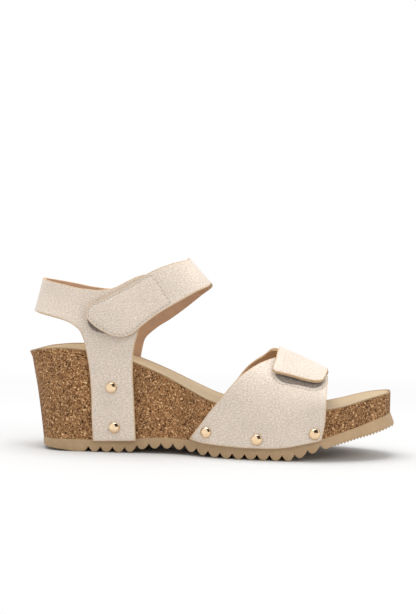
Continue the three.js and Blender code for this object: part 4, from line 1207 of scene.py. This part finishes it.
def vamp_point(x, turn):
    """The vamp's base. Turn -1 to 0 is the outer side, 0 to pi the arch, pi to pi + 1 the inner."""
    rim = curve(RIM_HEIGHT, x)
    over = np.clip(turn, 0, np.pi)
    lateral = over < np.pi / 2
    reach = np.minimum(x, VAMP_STRAIGHT_FROM)
    half = np.where(lateral, half_width(reach, -1), half_width(reach, 1)) + GAP
    across = np.abs(np.cos(over)) ** (2 / VAMP_ROUNDNESS)
    up = np.clip(np.sin(over), 0, 1) ** (2 / VAMP_ROUNDNESS)
    below = np.maximum(0, np.maximum(-turn, turn - np.pi))
    z = rim + (curve(VAMP_RIDGE, x) - rim) * up - (rim - VAMP_FOOT_Z) * below
    return np.stack((x, np.where(lateral, -1, 1) * half * across, z), axis=1)


ROUND_TABLE = np.linspace(-1.05, np.pi + 1.05, 1600)
round_way = lengths_along(vamp_point(np.full(1600, float(VAMP_REFERENCE_X)), ROUND_TABLE))
round_way -= np.interp(np.pi / 2, ROUND_TABLE, round_way)


def vamp_wrap(places):
    """Base points for pattern places (x, way round); the way is negative on the outer side."""
    return vamp_point(places[:, 0], np.interp(places[:, 1], round_way, ROUND_TABLE))


def vamp_lift(points):
    return CLOSURE_STEP * (1 - smooth_step(VAMP_LIFT_START_Y, VAMP_LIFT_END_Y, points[:, 1]))


def vamp_side(points, side, lift=None):
    """Pattern places on the vamp of points (x, z) seen from the outer or inner side."""
    points = np.array(points, float)
    rim, ridge = curve(RIM_HEIGHT, points[:, 0]), curve(VAMP_RIDGE, points[:, 0])
    up = np.clip((points[:, 1] - rim) / (ridge - rim), 0, 0.8) ** (VAMP_ROUNDNESS / 2)
    below = np.clip((rim - points[:, 1]) / (rim - VAMP_FOOT_Z), 0, 1)
    turn = np.arcsin(up) - below
    turn = turn if side < 0 else np.pi - turn
    start = np.stack((points[:, 0], np.interp(turn, ROUND_TABLE, round_way)), axis=1)
    return find_places(vamp_wrap, lift, points, [0, 2], start)


def vamp_top(points, lift=None):
    """Pattern places on the vamp of points (x, y) seen from above."""
    points = np.array(points, float)
    return find_places(vamp_wrap, lift, points, [0, 1], points)


VAMP_BACK_EDGE = [
    (117.5, 11.6), (124.8, 21.7), (131.4, 31), (138, 39.2), (144.5, 47.4), (151, 54.9),
    (157.6, 60.0), (163.7, 63.7), (169, 65.9), (174, 67.2),
]
VAMP_FRONT_EDGE = [(209, 44), (209, 36), (208.4, 26), (206.4, 14.6)]
VAMP_LOW_EDGE = [(206.4, 14.6), (195, 11.7), (182, 9.1), (160, 8.2), (139, 8.8), (125.7, 9.8),
                 (117.5, 11.6)]
MEDIAL_BACK_EDGE = [
    (117.5, 11.6), (124.8, 21.7), (131.2, 31), (137.4, 39.6), (143.4, 48.2), (149.4, 55.8),
    (155.4, 61), (161.4, 65),
]
MEDIAL_FRONT_EDGE = [(206.4, 44), (206.6, 36), (206.9, 26), (205.6, 13.8)]
MEDIAL_LOW_EDGE = [(205.6, 13.8), (195, 10.9), (182, 8.2), (160, 7.4), (139, 8.2),
                   (125.7, 9.6), (117.5, 11.6)]
TAB_EDGE = [
    (174.9, 69.6), (174.6, 66.5), (173.4, 62.6), (173.3, 60.6), (175.2, 59.2), (184.1, 57.4),
    (197.4, 54.2), (203, 53.6), (206.4, 54.4), (207.9, 56.8),
]
VAMP_LOOP_TAPE = [(178, 69), (176, 64), (174.7, 58.6), (175.6, 55.2), (178.6, 53.0), (191, 50.4),
                  (202, 48.9), (205.4, 50.2), (206.4, 53.4)]
LOOP_TAPE_STITCH = [(174.2, 64), (173.2, 59.6), (173.5, 55.6), (176.6, 51.9), (184, 50.3), (191, 48.9),
                    (202, 47.2), (206, 48.6), (207.2, 53)]
VAMP_HOOK_TAPE = [(177, 66.6), (175.2, 62), (176.6, 60.2), (184.6, 58.6), (197.8, 55.8),
                  (203.6, 55.5)]
TAPE_TOP_Y = -19.5
LATERAL_TOP_Y = -17.5

lateral_back = vamp_side(VAMP_BACK_EDGE, -1)
lateral_front = vamp_side(VAMP_FRONT_EDGE, -1)
lateral_low = vamp_side(VAMP_LOW_EDGE, -1)
lateral_top = vamp_top([(182, LATERAL_TOP_Y - 1), (209, LATERAL_TOP_Y)])
lateral_outline = outline_of([
    [*lateral_back, lateral_top[0]], lateral_top, [lateral_top[1], *lateral_front], lateral_low,
])

medial_back = vamp_side(MEDIAL_BACK_EDGE, 1)
medial_front = vamp_side(MEDIAL_FRONT_EDGE, 1)
medial_low = vamp_side(MEDIAL_LOW_EDGE, 1)
top_back = vamp_top([(169.6, 17.5), (172.6, 11), (174, SPLIT_Y)])
top_front = vamp_top([(208.8, SPLIT_Y), (207.6, 22)])
medial_outline = outline_of([
    [*medial_back, *top_back], [top_back[2], top_front[0]], [*top_front, *medial_front], medial_low,
])

tab_side = vamp_side(TAB_EDGE, -1, vamp_lift)
tab_back = vamp_top([(174, SPLIT_Y), (174.7, -3)], vamp_lift)
tab_front = vamp_top([(208.6, -9), (208.8, -3), (208.8, SPLIT_Y)], vamp_lift)
tab_outline = outline_of([
    [*tab_back, *tab_side[:5]], tab_side[4:9], [*tab_side[8:], *tab_front],
    [tab_front[-1], tab_back[0]],
])

vamp_loop_outline = outline_of([
    vamp_side(VAMP_LOOP_TAPE, -1),
    [*vamp_side(VAMP_LOOP_TAPE[-1:], -1), *vamp_top([(206, TAPE_TOP_Y)])],
    vamp_top([(206, TAPE_TOP_Y), (178.5, TAPE_TOP_Y)]),
])
loop_stitch_path = smooth_run(vamp_side(LOOP_TAPE_STITCH, -1), 1.0)
vamp_dents = {side: dents_under(VAMP_RIVETS, side) for side in (-1, 1)}
lateral_vamp = cut_piece("lateral_vamp_leather_panel", lateral_outline, vamp_wrap, LEATHER_OUTER,
                         LEATHER_THICKNESS, leather_faces, dents=vamp_dents[-1],
                         rows=(loop_stitch_path,))
lateral_vamp_lining = cut_piece("lateral_vamp_lining_panel", lateral_outline, vamp_wrap,
                                LINING_DEPTH, LINING_THICKNESS, lining_faces)
medial_vamp = cut_piece("medial_vamp_and_strap_leather", medial_outline, vamp_wrap, LEATHER_OUTER,
                        LEATHER_THICKNESS, leather_faces, lift=vamp_lift,
                        dents=vamp_dents[1], butt=[top_back[2], top_front[0]])
medial_vamp_lining = cut_piece("medial_vamp_and_strap_lining", medial_outline, vamp_wrap,
                               LINING_DEPTH, LINING_THICKNESS, lining_faces, lift=vamp_lift)
vamp_tab = cut_piece("vamp_tab_leather_flap", tab_outline, vamp_wrap, LEATHER_OUTER,
                     LEATHER_THICKNESS, leather_faces, lift=vamp_lift, puff=0.2,
                     butt=[tab_front[-1], tab_back[0]])
vamp_tab_lining = cut_piece("vamp_tab_lining_flap", tab_outline, vamp_wrap, LINING_DEPTH,
                            LINING_THICKNESS, lining_faces, lift=vamp_lift)

for piece, node, surface_slot in (
    (lateral_vamp, "lateral_vamp_leather", "strap_leather"),
    (lateral_vamp_lining, "lateral_vamp_lining", "strap_lining"),
):
    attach(piece, "sandal")
    declare_leather([node])
for piece, node, surface_slot in (
    (medial_vamp, "medial_vamp_leather", "strap_leather"),
    (medial_vamp_lining, "medial_vamp_lining", "strap_lining"),
):
    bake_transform(piece)
    declare_leather([node])
for piece, nodes, surface_slot in (
    (vamp_tab, ["vamp_strap_leather", "vamp_tab_leather"], "strap_leather"),
    (vamp_tab_lining, ["vamp_strap_lining", "vamp_tab_lining"], "strap_lining"),
):
    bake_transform(piece)
    declare_leather(nodes)

# ---------------------------------------------------------------------------------------------
# Vamp tapes: the same fuzzy tape, loops stitched on the outer panel just below the tab's edge, and
# hooks under the tab.

loop_stitches = stitch_row("vamp_loop_tape_stitches", (loop_stitch_path,), vamp_wrap,
                           LEATHER_OUTER - 0.12)
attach(loop_stitches, "sandal")

tape_piece("vamp_loop_tape_pile", vamp_loop_outline, vamp_wrap, LOOP_TAPE_DEPTH, "sandal",
           "vamp_loop_tape")
vamp_hook_outline = outline_of([
    vamp_side(VAMP_HOOK_TAPE, -1, vamp_lift),
    [*vamp_side(VAMP_HOOK_TAPE[-1:], -1, vamp_lift), *vamp_top([(205, TAPE_TOP_Y)], vamp_lift)],
    vamp_top([(205, TAPE_TOP_Y), (178, TAPE_TOP_Y)], vamp_lift),
])
tape_piece("vamp_hook_tape_pile", vamp_hook_outline, vamp_wrap, HOOK_TAPE_DEPTH, "vamp_tab",
           "vamp_hook_tape", vamp_lift)

# ---------------------------------------------------------------------------------------------
# Rivets: pale gold domed caps on nails driven through leather and lining into the cork, two in
# each leg and three in each side of the vamp.

RIVET_RADIUS = 3.8
RIVET_HEIGHT = 2.4
RIVET_BASE = 2.3
NAIL_RADIUS = 0.9
NAIL_LENGTH = 13
NAIL_POINT = 2

gold, gold_shader = plain_material("pale_gold", (0.93, 0.74, 0.49), 0.12)
gold_shader.inputs["Metallic"].default_value = 1.0
place = object_place(gold)
tarnish = ramp(gold, noise(gold, place, 420, 4), [
    (0.35, (0.84, 0.60, 0.36)), (0.65, (0.94, 0.73, 0.49)),
])
link(gold, tarnish, gold_shader, "Base Color")
link(gold, ramp(gold, noise(gold, place, 900, 3), [(0.3, grey(0.04)), (0.75, grey(0.12))]),
     gold_shader, "Roughness")
link(gold, raised(gold, noise(gold, place, 700), 0.012, 0.5), gold_shader, "Normal")


def rivet(name, x, z, side):
    """A dome cut from a sphere, its rim turned down, on a pointed nail."""
    place, outwards = rivet_place(x, z, side)
    bpy.ops.object.select_all(action="DESELECT")
    bpy.ops.mesh.primitive_uv_sphere_add(segments=40, ring_count=24, radius=1)
    made = bpy.context.active_object
    made.name = name
    bpy.ops.object.mode_set(mode="EDIT")
    bpy.ops.mesh.select_all(action="SELECT")
    bpy.ops.transform.resize(value=(RIVET_RADIUS, RIVET_RADIUS, RIVET_HEIGHT))
    bpy.ops.mesh.bisect(plane_co=(0, 0, 0.25), plane_no=(0, 0, -1), clear_outer=True)
    bpy.ops.mesh.select_all(action="DESELECT")
    bpy.ops.mesh.select_mode(type="EDGE")
    bpy.ops.mesh.select_non_manifold(extend=False)
    bpy.ops.mesh.extrude_edges_move(TRANSFORM_OT_translate={"value": (0, 0, -0.3)})
    bpy.ops.mesh.edge_face_add()
    bpy.ops.mesh.select_mode(type="FACE")
    bpy.ops.mesh.inset(thickness=RIVET_RADIUS - NAIL_RADIUS, depth=0)
    bpy.ops.mesh.extrude_region_move(
        TRANSFORM_OT_translate={"value": (0, 0, -(NAIL_LENGTH + RIVET_BASE - NAIL_POINT))}
    )
    bpy.ops.mesh.extrude_region_move(TRANSFORM_OT_translate={"value": (0, 0, -NAIL_POINT)})
    bpy.ops.transform.resize(value=(0.15, 0.15, 1))
    bpy.ops.mesh.select_all(action="SELECT")
    bpy.ops.mesh.normals_make_consistent(inside=False)
    bpy.ops.object.mode_set(mode="OBJECT")
    middle = (place + outwards * RIVET_BASE + ORIGIN) * MILLIMETRE
    turn = Vector(outwards).to_track_quat("Z", "Y").to_matrix().to_4x4()
    made.data.transform(
        Matrix.Translation(Vector(middle)) @ turn @ Matrix.Scale(MILLIMETRE, 4)
    )
    made.data.materials.append(gold)
    only_select(made)
    bpy.ops.object.shade_smooth_by_angle(angle=math.radians(40))
    return made


RIVET_SETS = [
    ("lateral_leg_rivet", LATERAL_LEG_RIVETS, -1), ("lateral_vamp_rivet", VAMP_RIVETS, -1),
    ("medial_leg_rivet", MEDIAL_LEG_RIVETS, 1), ("medial_vamp_rivet", VAMP_RIVETS, 1),
]
for set_name, spots, side in RIVET_SETS:
    for index, (x, z) in enumerate(spots, 1):
        node = f"{set_name}_{index}"
        cap = rivet(f"{node}_cap", x, z, side)
        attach(cap, "sandal")
        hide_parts(node)
